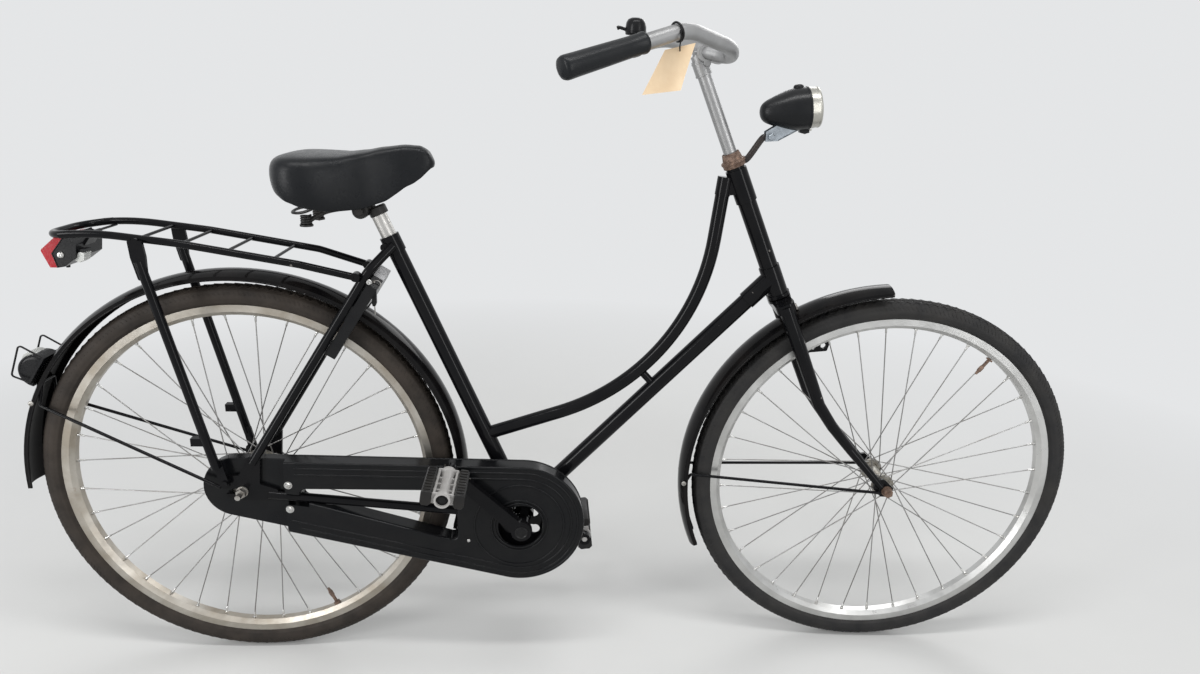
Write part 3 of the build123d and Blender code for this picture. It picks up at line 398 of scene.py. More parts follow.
@dataclass(frozen=True)
class Finish:
    """An opaque finish: its colour, gloss and relief, and what age has done to it.

    Sizes of noise are in waves per metre, the relief's depth is in metres, and amounts run from 0 to 1.
    """

    name: str
    colour: Colour
    tint: Colour
    roughness: float
    rough_spread: float = 0.08
    metallic: float = 0.0
    specular: float = 0.5
    sheen: float = 0.0
    grain: Grain = Grain.CAST
    size: float = 400.0
    depth: float = 1e-4
    tint_size: float = 18.0
    dust: float = 0.15
    dust_colour: Colour = (0.30, 0.28, 0.25)
    rust: float = 0.0
    rust_colour: Colour = (0.16, 0.062, 0.025)
    rust_size: float = 120.0
    chips: float = 0.0
    chip_colour: Colour = (0.45, 0.44, 0.43)
    streaks: float = 0.0
    stretch: Colour = (900.0, 900.0, 60.0)
    centre: Colour | None = None

    def material(self, effects: Effects) -> bpy.types.Material:
        """Builds the material from the shared groups and this finish's values.

        Args:
            effects: The shared shader groups.

        Returns:
            The new material.
        """
        made = bpy.data.materials.new(self.name)
        w = Wiring.of(made)
        place = w.place()
        if self.centre is not None:
            shift = [-v for v in self.centre]
            place = w.add("ShaderNodeMapping", {"Vector": place, "Location": shift}).outputs[0]
        pattern = place
        if self.grain is Grain.TURNED:
            pattern = w.group(effects.around, Vector=place).outputs[0]
        colour = w.mix(w.span(w.noise(place, self.tint_size), 0.35, 0.68), self.colour, self.tint)
        smoothest = max(0.02, self.roughness - self.rough_spread)
        roughest = min(1.0, self.roughness + self.rough_spread)
        rough = w.span(w.noise(place, self.tint_size * 2.3, 5.0, 0.65), 0.3, 0.7, smoothest, roughest)
        metal: object = self.metallic
        height = self._relief(w, pattern)

        def cover(tree: Tree, shade: Colour, coarse: float, **inputs: object) -> bpy.types.NodeOutputs:
            """Lays a colour and a roughness over what is there, where a group's mask says.

            Args:
                tree: The group that gives the mask.
                shade: The colour that is laid on.
                coarse: The roughness that is laid on.
                inputs: The group's own inputs.

            Returns:
                The group's outputs.
            """
            nonlocal colour, rough
            found = w.group(tree, Vector=place, **inputs).outputs
            colour = w.mix(found["Mask"], colour, shade)
            rough = w.math("MAXIMUM", rough, w.times(found["Mask"], coarse))
            return found

        if self.streaks:
            rub = w.group(effects.streaks, Vector=pattern, Stretch=self.stretch, Amount=self.streaks).outputs
            colour = w.mix(rub["Mask"], colour, [min(1.0, 1.5 * c + 0.05) for c in self.colour])
            rough = w.math("ADD", rough, w.times(rub["Mask"], 0.2), clamp=True)
            height = w.math("ADD", height, w.times(rub["Height"], 0.3))
        if self.chips:
            cover(effects.chips, self.chip_colour, 0.6, Amount=self.chips)
        if self.rust:
            spot = cover(effects.rust, self.rust_colour, 0.85, Amount=self.rust, Size=self.rust_size)
            height = w.math("ADD", height, w.times(spot["Height"], 2.0))
            if self.metallic:
                metal = w.span(spot["Mask"], 0.0, 1.0, self.metallic, 0.1)
        if self.dust:
            cover(effects.dust, self.dust_colour, 0.9, Amount=self.dust)
        w.surface(w.add("ShaderNodeBsdfPrincipled", {
            "Base Color": colour, "Roughness": rough, "Metallic": metal, "Specular IOR Level": self.specular,
            "Sheen Weight": self.sheen, "Normal": w.bump(self.depth, height)}).outputs[0])
        made.diffuse_color = (*self.colour, 1.0)
        return made

    def _relief(self, w: Wiring, place: Socket) -> Socket:
        """The height of this finish's fine grain.

        Args:
            w: The material's wiring.
            place: The place that the grain follows.

        Returns:
            The height.
        """
        if self.grain is Grain.PEBBLE:
            edges = w.add("ShaderNodeTexVoronoi", {"Vector": place, "Scale": self.size},
                          feature="DISTANCE_TO_EDGE").outputs[0]
            return w.math("ADD", w.span(edges, 0.0, 0.25), w.noise(place, self.size * 0.3))
        if self.grain in (Grain.BRUSHED, Grain.TURNED):
            drawn = w.add("ShaderNodeMapping", {"Vector": place, "Scale": self.stretch}).outputs[0]
            return w.noise(drawn, 1.0, 4.0, 0.6)
        return w.noise(place, self.size, *((8.0, 0.75) if self.grain is Grain.CAST else (2.0, 0.4)))


@dataclass(frozen=True)
class Glass:
    """A clear or coloured moulded lens with faint ribs under a film of dust, and an optional painted glow."""

    name: str
    colour: Colour
    roughness: float
    transmission: float
    # Strength of a painted glow: the lens gives off light in its own colour with no lamp lit behind it.
    painted_glow: float = 0.0
    rib_size: float = 500.0
    rib_depth: float = 3e-4

    def material(self, effects: Effects) -> bpy.types.Material:
        """Builds the lens material.

        Args:
            effects: The shared shader groups.

        Returns:
            The new material.
        """
        made = bpy.data.materials.new(self.name)
        w = Wiring.of(made)
        place = w.place()
        film = w.group(effects.dust, Vector=place, Amount=0.25).outputs["Mask"]
        rough = w.math("ADD", self.roughness, w.times(film, 0.4), clamp=True)
        colour = w.mix(w.times(film, 0.35), self.colour, (0.35, 0.33, 0.30))
        ribs = w.add("ShaderNodeTexWave", {"Vector": place, "Scale": self.rib_size, "Distortion": 0.0},
                     wave_type="BANDS", bands_direction="Y").outputs["Fac"]
        w.surface(w.add("ShaderNodeBsdfPrincipled", {
            "Base Color": colour, "Roughness": rough, "Transmission Weight": self.transmission,
            # Painted glow: emission in the lens's own colour, though its lamp is not lit.
            "Emission Strength": self.painted_glow, "Emission Color": (*self.colour, 1.0),
            "Normal": w.bump(self.rib_depth, ribs)}).outputs[0])
        return made


FRONT_CENTRE = tuple(steering_turn() @ at(*FRONT_AXLE))
REAR_CENTRE = tuple(at(*REAR_AXLE))
DARK_RUST: Colour = (0.085, 0.045, 0.028)
Black = partial(Finish, dust_colour=(0.17, 0.16, 0.145))
Metal = partial(Finish, metallic=1.0)


FINISHES = (
    Black("black_enamel", (0.003, 0.0032, 0.004), (0.005, 0.0048, 0.0055), 0.12, 0.04, specular=0.13,
          grain=Grain.PEEL, size=260, depth=3e-5, dust=0.03, chips=0.06, chip_colour=(0.14, 0.13, 0.12),
          streaks=0.04, stretch=(700, 700, 700), rust=0.05),
    Black("guard_enamel", (0.003, 0.003, 0.0035), (0.006, 0.005, 0.005), 0.13, 0.05, specular=0.12,
          grain=Grain.PEEL, size=180, depth=4e-5, dust=0.06, chips=0.08, chip_colour=(0.18, 0.17, 0.16),
          streaks=0.06, stretch=(500, 900, 500)),
    Black("case_plastic", (0.004, 0.0044, 0.0054), (0.006, 0.0062, 0.0068), 0.20, 0.05, specular=0.16,
          size=700, depth=12e-6, dust=0.05, streaks=0.06, stretch=(60, 900, 900)),
    Black("moulded_black", (0.005, 0.0053, 0.0063), (0.0075, 0.0075, 0.008), 0.28, specular=0.18,
          size=1200, depth=15e-6, dust=0.06),
    Black("lamp_shell", (0.004, 0.0048, 0.006), (0.006, 0.0065, 0.0075), 0.33, 0.06, specular=0.24,
          grain=Grain.PEEL, size=300, depth=3e-5, dust=0.04, streaks=0.04),
    Black("saddle_vinyl", (0.0045, 0.0054, 0.0068), (0.0060, 0.0068, 0.0082), 0.29, 0.05, specular=0.20,
          grain=Grain.PEBBLE, size=1500, depth=4e-5, dust=0.04),
    Black("grip_rubber", (0.006, 0.0072, 0.0088), (0.009, 0.010, 0.0115), 0.38, 0.07, specular=0.22,
          size=1400, depth=6e-5, dust=0.06),
    Black("pedal_rubber", (0.007, 0.007, 0.008), (0.013, 0.012, 0.011), 0.42, 0.1, specular=0.25,
          size=1300, dust=0.12),
    Finish("front_tyre_rubber", (0.011, 0.011, 0.012), (0.020, 0.019, 0.018), 0.60, 0.1, specular=0.25,
           size=1500, depth=12e-5, dust=0.22, dust_colour=(0.14, 0.13, 0.12), centre=FRONT_CENTRE),
    Finish("rear_tyre_rubber", (0.017, 0.014, 0.012), (0.034, 0.027, 0.022), 0.66, 0.1, specular=0.2,
           size=1500, depth=12e-5, dust=0.34, dust_colour=(0.13, 0.108, 0.088), centre=REAR_CENTRE),
    Metal("front_rim_alloy", (0.60, 0.60, 0.59), (0.46, 0.46, 0.45), 0.34, grain=Grain.TURNED,
          stretch=(2500, 30, 2500), depth=3e-5, dust=0.3, dust_colour=(0.36, 0.34, 0.31), rust=0.05,
          centre=FRONT_CENTRE),
    Metal("rear_rim_alloy", (0.50, 0.475, 0.43), (0.33, 0.295, 0.245), 0.40, 0.1, grain=Grain.TURNED,
          stretch=(2500, 30, 2500), depth=3e-5, dust=0.6, dust_colour=(0.25, 0.20, 0.15), rust=0.38,
          rust_size=30, centre=REAR_CENTRE),
    Metal("spoke_steel", (0.33, 0.33, 0.33), (0.22, 0.21, 0.20), 0.38, 0.1, grain=Grain.PEEL, depth=2e-5,
          dust=0.3, rust=0.15, rust_size=60),
    Metal("hub_alloy", (0.36, 0.35, 0.32), (0.22, 0.20, 0.17), 0.48, 0.12, size=500, dust=0.5, rust=0.4,
          tint_size=60, rust_size=90),
    Metal("bar_alloy", (0.38, 0.38, 0.38), (0.30, 0.30, 0.30), 0.42, 0.06, size=700, depth=1e-5,
          streaks=0.15, stretch=(600, 120, 600)),
    Metal("post_alloy", (0.54, 0.53, 0.51), (0.42, 0.41, 0.39), 0.44, grain=Grain.BRUSHED,
          stretch=(1600, 1600, 40), depth=6e-6, streaks=0.4, rust=0.04),
    Metal("zinc_steel", (0.40, 0.39, 0.37), (0.26, 0.24, 0.22), 0.42, 0.12, size=800, depth=6e-5, dust=0.3,
          rust=0.35, tint_size=90),
    Metal("bright_screw", (0.60, 0.60, 0.59), (0.45, 0.44, 0.42), 0.30, 0.1, size=900, depth=3e-5, rust=0.06,
          tint_size=120),
    Metal("blued_zinc", (0.42, 0.46, 0.50), (0.30, 0.33, 0.36), 0.32, 0.1, size=500, depth=5e-5, dust=0.12,
          rust=0.12, tint_size=60),
    Finish("rusty_steel", (0.23, 0.15, 0.11), (0.12, 0.09, 0.075), 0.6, 0.15, metallic=0.6, size=900,
           depth=2e-4, dust=0.3, rust=0.75, tint_size=120, rust_colour=DARK_RUST),
    Finish("pedal_grey", (0.42, 0.41, 0.40), (0.30, 0.29, 0.28), 0.42, 0.1, specular=0.45, size=900,
           depth=6e-5, dust=0.35, streaks=0.25, stretch=(400, 60, 400)),
    Finish("grey_cap", (0.42, 0.42, 0.43), (0.32, 0.32, 0.32), 0.40, size=1000, depth=5e-5, dust=0.2),
    Finish("buff_card", (0.87, 0.68, 0.46), (0.80, 0.60, 0.39), 0.72, specular=0.25, sheen=0.1, size=700,
           depth=12e-5, tint_size=40, dust=0.1, dust_colour=(0.40, 0.33, 0.22)),
    Finish("brown_steel", (0.012, 0.010, 0.010), (0.022, 0.015, 0.013), 0.32, 0.1, specular=0.35, size=700,
           depth=8e-5, dust=0.08, rust=0.12, rust_size=160, rust_colour=DARK_RUST),
    Metal("chrome_ring", (0.48, 0.47, 0.43), (0.36, 0.35, 0.31), 0.32, 0.06, grain=Grain.PEEL, depth=2e-5,
          dust=0.2, rust=0.05),
    Finish("saddle_springs", (0.010, 0.010, 0.011), (0.018, 0.016, 0.015), 0.42, 0.1, specular=0.25,
           size=700, depth=6e-5, dust=0.3, rust=0.25),
    # The red lens has a faint painted glow, though the tail lamp is not lit.
    Glass("red_lens", (0.46, 0.008, 0.018), roughness=0.12, transmission=0.35, painted_glow=0.02),
    Glass("clear_lens", (0.92, 0.93, 0.92), roughness=0.06, transmission=1.0),
    # A pale milky finish, which on the mudguard lamp's lens is a painted highlight.
    Glass("milky_lens_and_highlight", (0.74, 0.75, 0.72), roughness=0.15, transmission=0.35),
)


class Paintshop:
    """Every finish on the bicycle, each made into a material when it is first asked for."""

    def __init__(self) -> None:
        """Builds the shared groups and lists the finishes by name."""
        self.effects = Effects()
        self.known = {finish.name: finish for finish in FINISHES}
        self.made: dict[str, bpy.types.Material] = {}

    def get(self, name: str) -> bpy.types.Material:
        """The material of that name, made the first time.

        Args:
            name: The finish's name.

        Returns:
            Its material.
        """
        if name not in self.made:
            self.made[name] = self.known[name].material(self.effects)
        return self.made[name]

    def coat_node(self, frame: dict, node: str, name: str) -> None:
        """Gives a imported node's object a finish in each of its material slots.

        Args:
            frame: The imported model's objects.
            node: The node's name.
            name: The finish's name.
        """
        slots = frame["nodes"][node].data.materials
        for index in range(len(slots)):
            slots[index] = self.get(name)
        LOG.info("%s: finished in %s", node, name)


NODES_BY_FINISH = {
    "black_enamel": "bottom_bracket head_tube curved_top_tube down_tube seat_tube chain_stays seat_stays "
                    "fork carrier_rails carrier_legs rear_mudguard_wires front_mudguard_wires "
                    "dynamo_bracket crank_left crank_right chainring",
    "guard_enamel": "rear_mudguard front_mudguard",
    "case_plastic": "chaincase chaincase_cap",
    "moulded_black": "ring_lock tail_lamp mudguard_lamp bell",
    "lamp_shell": "headlamp_shell",
    "saddle_vinyl": "saddle",
    "grip_rubber": "grips",
    "pedal_rubber": "pedal_right pedal_left",
    "front_tyre_rubber": "front_tyre",
    "rear_tyre_rubber": "rear_tyre",
    "front_rim_alloy": "front_rim",
    "rear_rim_alloy": "rear_rim",
    "spoke_steel": "front_spokes rear_spokes",
    "hub_alloy": "front_hub rear_hub",
    "bar_alloy": "stem handlebar",
    "post_alloy": "seat_post",
    "zinc_steel": "crank_spindle brake_arm rear_axle",
    "blued_zinc": "lamp_arm",
    "rusty_steel": "front_axle headset",
    "chrome_ring": "headlamp_ring",
    "saddle_springs": "saddle_frame",
    "red_lens": "tail_lamp_lens",
    "clear_lens": "headlamp_lens",
}


# Mesh making


def along_curve(points: Sequence[Point], steps: int) -> list[Vector]:
    """Samples the smooth curve through some points.

    Args:
        points: The points it passes through.
        steps: How many samples each run between two points gets.

    Returns:
        The samples, in order.
    """
    knots = [Vector(p) for p in points]
    last = len(knots) - 1
    samples = []
    for i in range(last):
        a, b, c, d = knots[max(i - 1, 0)], knots[i], knots[i + 1], knots[min(i + 2, last)]
        for t in (k / steps for k in range(steps)):
            samples.append(0.5 * (2 * b + (c - a) * t + (2 * a - 5 * b + 4 * c - d) * t * t
                                  + (3 * b - a - 3 * c + d) * t ** 3))
    return [*samples, knots[-1]]


def curve_value(table: Profile, x: float) -> float:
    """The value at x on the smooth line through a table of (x, value) in rising x.

    Args:
        table: Pairs of x and value, in rising x.
        x: Where the value is wanted.

    Returns:
        The value there.
    """
    if x <= table[0][0]:
        return table[0][1]
    for (x0, v0), (x1, v1) in zip(table, table[1:]):
        if x <= x1:
            t = (x - x0) / (x1 - x0)
            return v0 + (v1 - v0) * (t * t * (3 - 2 * t) * 0.5 + t * 0.5)
    return table[-1][1]


def square_to(axis: Point) -> tuple[Vector, Vector, Vector]:
    """A unit vector along axis and two more square to it.

    Args:
        axis: Any direction.

    Returns:
        The one along the axis, then the two square to it.
    """
    along = Vector(axis).normalized()
    other = Vector((0.0, 1.0, 0.0)) if abs(along.y) < 0.9 else Vector((1.0, 0.0, 0.0))
    side = along.cross(other).normalized()
    return along, side, along.cross(side)


class Shape:
    """A mesh that grows form by form. Radii, profiles and widths are in millimetres, places are vectors."""

    def __init__(self) -> None:
        """Starts with no points."""
        self.points: list[Vector] = []
        self.faces: list[tuple[int, ...]] = []
        self.marks: list[int] = []

    def rings(self, rings: Sequence[Sequence[Point]], loop: bool = False, caps: bool = True,
              mark: int = 0) -> Shape:
        """Joins equal rings of points with faces.

        Args:
            rings: The rings, in order, each with as many points.
            loop: Whether the last ring joins the first.
            caps: Whether the first and last ring are closed.
            mark: The finish's place in the piece's list.

        Returns:
            This shape.
        """
        base, count, last = len(self.points), len(rings[0]), len(rings) - 1
        for ring in rings:
            self.points.extend(Vector(p) for p in ring)
        for i in range(len(rings) if loop else last):
            a, b = base + i * count, base + (i + 1) % len(rings) * count
            for k in range(count):
                n = (k + 1) % count
                self.faces.append((a + k, a + n, b + n, b + k))
        if caps and not loop:
            self.faces.append(tuple(base + k for k in reversed(range(count))))
            self.faces.append(tuple(base + last * count + k for k in range(count)))
        self.marks += [mark] * (len(self.faces) - len(self.marks))
        return self

    def lathe(self, profile: Profile, centre: Point, axis: Point, count: int = 48, mark: int = 0) -> Shape:
        """Turns a closed profile of (radius, distance along the axis) about an axis through centre.

        Args:
            profile: Pairs of radius and distance, in millimetres.
            centre: A place on the axis.
            axis: The way that distances run.
            count: How many sides a turn has.
            mark: Which of the piece's finishes its faces get.

        Returns:
            This shape.
        """
        along, side, up = square_to(axis)
        middle = Vector(centre)
        around = [side * math.cos(a) + up * math.sin(a) for a in turns(count)]
        rings = [[middle + along * (reach * MM) + way * max(radius * MM, WELD) for way in around]
                 for radius, reach in profile]
        return self.rings(rings, loop=True, mark=mark)

    def tube(self, path: Sequence[Point], radius: float | Sequence[float], count: int = 12,
             loop: bool = False, flat: float = 1.0) -> Shape:
        """Runs a round or flattened section along a path.

        Args:
            path: The places that the middle of the section runs through.
            radius: Its radius in millimetres, or one for each place.
            count: How many sides it has.
            loop: Whether the path closes.
            flat: How thick it is against its width.

        Returns:
            This shape.
        """
        line = [Vector(p) for p in path]
        sizes = [radius] * len(line) if isinstance(radius, (int, float)) else list(radius)
        ahead = [((line[(i + 1) % len(line)] if loop or i + 1 < len(line) else line[i])
                  - (line[i - 1] if loop or i else line[i])).normalized() for i in range(len(line))]
        side = square_to(ahead[0])[1]
        rings = []
        for point, way, size in zip(line, ahead, sizes):
            side = (side - way * side.dot(way)).normalized()
            up = way.cross(side)
            rings.append([point + (side * math.cos(a) + up * math.sin(a) * flat) * (size * MM)
                          for a in turns(count)])
        return self.rings(rings, loop=loop)

    def slab(self, outline: Sequence[Point], offset: Point, mark: int = 0) -> Shape:
        """Moves a flat outline by an offset and closes the sides."""
        shift = Vector(offset)
        return self.rings([outline, [Vector(p) + shift for p in outline]], mark=mark)

    def hex_head(self, place: Vector, axis: Point, across: float, height: float) -> Shape:
        """A hexagon head with a washer face and a chamfered top.

        Args:
            place: The middle of the seat.
            axis: The way that the head points.
            across: Its width across flats, in millimetres.
            height: Its height in millimetres.

        Returns:
            This shape.
        """
        radius, face = across / math.sqrt(3), height * 0.18
        self.lathe([(0, 0), (radius * 1.2, 0), (radius * 1.2, face), (0, face)], place, axis, 24)
        return self.lathe([(0, face), (radius, face), (radius, height * 0.88), (radius * 0.86, height),
                           (0, height)], place, axis, 6)

    def pan_head(self, place: Vector, axis: Point, radius: float) -> Shape:
        """A pan-headed screw with a dimple in its middle."""
        profile = ((0, 0), (1, 0), (1, 0.25), (0.75, 0.55), (0.35, 0.62), (0.25, 0.35), (0, 0.3))
        return self.lathe([(r * radius, h * radius) for r, h in profile], place, axis, 20)

    def piece(self, name: str, materials: Sequence[bpy.types.Material], crease: float = SHARP,
              bevel: float = 0.0, levels: int = 0) -> Piece:
        """Makes the object, with its faces outward.

        Args:
            name: The piece's name.
            materials: The finishes that the marks point to.
            crease: The angle past which an edge stays sharp, in degrees.
            bevel: The width of the rounding on sharp edges, in millimetres.
            levels: How often the surface is subdivided.

        Returns:
            The new object, linked to the scene.
        """
        mesh = bpy.data.meshes.new(name)
        mesh.from_pydata([tuple(p) for p in self.points], [], self.faces)
        mesh.polygons.foreach_set("material_index", self.marks)
        for material in materials:
            mesh.materials.append(material)
        work = bmesh.new()
        work.from_mesh(mesh)
        bmesh.ops.remove_doubles(work, verts=work.verts, dist=WELD)
        bmesh.ops.dissolve_degenerate(work, dist=WELD, edges=work.edges)
        bmesh.ops.recalc_face_normals(work, faces=work.faces)
        work.to_mesh(mesh)
        work.free()
        mesh.shade_smooth()
        mesh.set_sharp_from_angle(angle=math.radians(crease))
        made = linked(name, mesh)
        if bevel:
            rounding = made.modifiers.new("rounding", "BEVEL")
            rounding.width, rounding.segments, rounding.limit_method = bevel * MM, 2, "ANGLE"
            rounding.angle_limit = math.radians(crease)
            rounding.harden_normals = True
        if levels:
            smoothing = made.modifiers.new("smoothing", "SUBSURF")
            smoothing.levels = smoothing.render_levels = levels
        return made


def linked(name: str, data: bpy.types.ID) -> Piece:
    """A new object of some data, in the scene.

    Args:
        name: The object's name.
        data: Its mesh, lamp or camera.

    Returns:
        The new object.
    """
    made = bpy.data.objects.new(name, data)
    bpy.context.scene.collection.objects.link(made)
    return made


def bar(length: float, width: float, low: float, high: float) -> Shape:
    """A plain block about the origin, half as long and wide as given, between two heights."""
    return Shape().rings([[by(x, y, z) for x, y in ((length, width), (-length, width), (-length, -width),
                                                    (length, -width))] for z in (low, high)])


class Repeater:
    """Sets one small pattern on many places with a geometry node tree."""

    def __init__(self) -> None:
        """Builds the tree once, with named inputs."""
        inputs = {"Places": ("Geometry", None), "Pattern": ("Object", None), "Finish": ("Material", None)}
        w, given, out = new_group("set_on_places", "Geometry", inputs, "Geometry:Geometry")
        pattern = w.add("GeometryNodeObjectInfo", {"Object": given["Pattern"]}).outputs["Geometry"]
        ahead, across = (w.add("GeometryNodeInputNamedAttribute", {"Name": name},
                               data_type="FLOAT_VECTOR").outputs[0] for name in ("ahead", "across"))
        turn = w.add("FunctionNodeAxesToRotation", {"Primary Axis": ahead, "Secondary Axis": across},
                     primary_axis="Z", secondary_axis="X").outputs[0]
        placed = w.add("GeometryNodeInstanceOnPoints", {"Points": given["Places"], "Instance": pattern,
                                                        "Rotation": turn}).outputs[0]
        real = w.add("GeometryNodeRealizeInstances", {0: placed}).outputs[0]
        done = w.add("GeometryNodeSetMaterial", {"Geometry": real, "Material": given["Finish"]}).outputs[0]
        w.tree.links.new(done, out["Geometry"])
        self.tree = w.tree
        self.keys = {s.name: s.identifier for s in w.tree.interface.items_tree if s.in_out == "INPUT"}

    def piece(self, name: str, pattern: Shape, places: Sequence[tuple[Vector, Vector, Vector]],
              material: bpy.types.Material) -> Piece:
        """Makes one plain mesh of a pattern set on every place.

        Args:
            name: The piece's name.
            pattern: The small form, about the origin, pointing along z.
            places: For each copy, its point, the direction its z takes and the direction its x takes.
            material: The finish of every copy.

        Returns:
            The piece.
        """
        small = pattern.piece(name + "_pattern", [material])
        spots = bpy.data.meshes.new(name + "_places")
        spots.from_pydata([tuple(p) for p, _, _ in places], [], [])
        for label, index in (("ahead", 1), ("across", 2)):
            layer = spots.attributes.new(label, "FLOAT_VECTOR", "POINT")
            layer.data.foreach_set("vector", [v for place in places for v in place[index].normalized()])
        holder = linked(name + "_places", spots)
        nodes = holder.modifiers.new("places", "NODES")
        nodes.node_group = self.tree
        nodes[self.keys["Pattern"]], nodes[self.keys["Finish"]] = small, material
        view = bpy.context.evaluated_depsgraph_get()
        mesh = bpy.data.meshes.new_from_object(holder.evaluated_get(view), depsgraph=view)
        mesh.name = name
        for spent in (holder, small):
            bpy.data.objects.remove(spent)
        mesh.set_sharp_from_angle(angle=math.radians(SHARP))
        return linked(name, mesh)


@dataclass
class Workshop:
    """What every sub-assembly needs: the finishes, and the repeater for what repeats."""

    shop: Paintshop
    repeater: Repeater

    def make(self, shape: Shape, name: str, body: Body, slot: str, finishes: str, *stands_for: str,
             crease: float = SHARP, bevel: float = 0.0, levels: int = 0) -> Piece:
        """Makes a shape into a piece, in the finishes that its marks point to, and keeps it."""
        materials = [self.shop.get(finish) for finish in finishes.split()]
        return self.keep(shape.piece(name, materials, crease, bevel, levels), body, slot, *stands_for)

    def repeat(self, name: str, pattern: Shape, places: Sequence[tuple[Vector, Vector, Vector]], body: Body,
               slot: str, finish: str) -> Piece:
        """Sets a pattern on every place as one piece and keeps it."""
        return self.keep(self.repeater.piece(name, pattern, places, self.shop.get(finish)), body, slot)

    def keep(self, piece: Piece, body: Body, slot: str, *stands_for: str) -> Piece:
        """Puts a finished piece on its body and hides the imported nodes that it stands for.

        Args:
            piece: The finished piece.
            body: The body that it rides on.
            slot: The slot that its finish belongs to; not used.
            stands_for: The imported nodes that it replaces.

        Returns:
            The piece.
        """
        if body in (Body.STEERING, Body.FRONT_WHEEL):
            piece.data.transform(steering_turn())
        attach(piece, body.value)
        if stands_for:
            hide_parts(*stands_for)
        LOG.info("%s: %d faces on %s", piece.name, len(piece.data.polygons), body.value)
        return piece


# Wheels


@dataclass
class Wheel:
    """One wheel's tyre, nipples and valve, about its own axle, in millimetres and degrees."""

    body: Body
    flange_radius: float = 18.0
    left_flange: float = 31.5
    right_flange: float = 31.5
    valve_turn: float = 55.0
    seat_radius: float = 317.5
    section: float = 39.5
    rim_half: float = 13.0
    rim_inner: float = 303.5
    spokes: int = 36
    lead: float = 62.0
    tread_count: int = 132

    def __post_init__(self) -> None:
        """Names the wheel, its rubber and the middle of its axle."""
        self.name = self.body.value.split("_")[0]
        self.rubber = self.name + "_tyre_rubber"
        self.centre = at(*(FRONT_AXLE if self.body is Body.FRONT_WHEEL else REAR_AXLE))

    def at(self, radius: float, turn: float, y: float = 0.0) -> Vector:
        """The point at a radius and an angle about the axle."""
        a = math.radians(turn)
        return self.centre + by(radius * math.cos(a), y, radius * math.sin(a))

    def on_tyre(self, turn: float, lean: float, sink: float) -> tuple[Vector, Vector, Vector, Vector]:
        """A spot on the tyre's section.

        Args:
            turn: The angle about the axle.
            lean: How far it leans from the crown to the left.
            sink: How far it lies under the surface.

        Returns:
            The spot, the way out of the surface, the way round the wheel and the way over the section.
        """
        t, a = math.radians(turn), math.radians(lean)
        out = Vector((math.cos(t), 0, math.sin(t)))
        normal = out * math.cos(a) + Vector((0, math.sin(a), 0))
        round_way = Vector((0, 1, 0)).cross(out)
        half = self.section / 2
        spot = self.centre + out * ((self.seat_radius + half) * MM) + normal * ((half - sink) * MM)
        return spot, normal, round_way, normal.cross(round_way)

    def build(self, work: Workshop) -> None:
        """Makes every piece of the wheel.

        Args:
            work: Makes the pieces and keeps them.
        """
        self.tyre(work)
        self.tread(work)
        self.nipples(work)
        self.valve(work)

    def tyre(self, work: Workshop) -> None:
        """The carcass: a round section with a bead line, a shoulder step and two grooves in its crown.

        Args:
            work: Makes the pieces and keeps them.
        """
        half = self.section / 2
        middle = self.seat_radius + half
        steps = [(138, -0.2), (128, -0.2), (122, 0.25), (118, 0.25), (114, -0.25), (104, -0.3),
                 (96, -0.35), (80, -0.4), (64, -0.4), (58, -0.1), (52, 0.0), (44, -0.5), (30, -0.9),
                 (21, -0.9), (18, -2.0), (12, -2.0), (9, -0.7), (0, -0.5)]
        right = [(middle + (half + d) * math.cos(math.radians(a)), -(half + d) * math.sin(math.radians(a)))
                 for a, d in steps]
        left = [(r, -y) for r, y in reversed(right[:-1])]
        bead = [(self.seat_radius + 2, side * (self.rim_half - 4)) for side in (1, -1)]
        shape = Shape().lathe(right + left + bead, self.centre, (0, 1, 0), 176)
        work.make(shape, self.name + "_tyre_carcass", self.body, "tyre", self.rubber, self.name + "_tyre",
                  crease=60.0)

    def tread(self, work: Workshop) -> None:
        """The tread: slanted blocks in two rows each side of the crown, and fine ribs on the walls.

        Args:
            work: Makes the pieces and keeps them.
        """
        blocks, ribs = [], []
        for i in range(self.tread_count):
            for side in SIDES:
                for lean, slant, shift in ((25.5, 26.0, 0.0), (38.0, -34.0, 0.5)):
                    turn = 360.0 * (i + shift) / self.tread_count
                    spot, normal, round_way, over = self.on_tyre(turn, side * lean, 0.9)
                    b = math.radians(slant * side)
                    blocks.append((spot, normal, round_way * math.cos(b) + over * math.sin(b)))
        for i in range(self.tread_count * 2):
            for side in SIDES:
                spot, normal, round_way, over = self.on_tyre(180.0 * i / self.tread_count, side * 70.0, 0.4)
                ribs.append((spot, normal, over * 0.8 + round_way * 0.6 * side))
        for name, pattern, places in (("blocks", bar(6.2, 1.9, -0.6, 0.7), blocks),
                                      ("ribs", bar(4.2, 0.6, -0.6, 0.3), ribs)):
            work.repeat(f"{self.name}_tyre_{name}", pattern, places, self.body, "tyre", self.rubber)

    def nipples(self, work: Workshop) -> None:
        """A nipple where each spoke meets the rim, turned to its spoke.

        Args:
            work: Makes the pieces and keeps them.
        """
        places = []
        for i in range(self.spokes):
            side = 1 if i % 2 else -1
            flange = self.left_flange if i % 2 else -self.right_flange
            outward = 1 if (i // 2) % 2 else -1
            turn = 360.0 / self.spokes * (i + 0.5)
            start = self.at(self.flange_radius, turn + outward * self.lead, flange)
            end = self.at(self.rim_inner, turn, side * 2.0)
            way = (end - start).normalized()
            places.append((end, way, way.cross(Vector((0, 1, 0)))))
        pin = Shape().lathe([(1.1, -12.5), (1.7, -11.8), (1.9, -3.5), (3.1, -2.6), (3.2, 1.6), (1.1, 1.6)],
                            (0, 0, 0), (0, 0, 1), 10)
        work.repeat(self.name + "_nipples", pin, places, self.body, "stainless", "bright_screw")

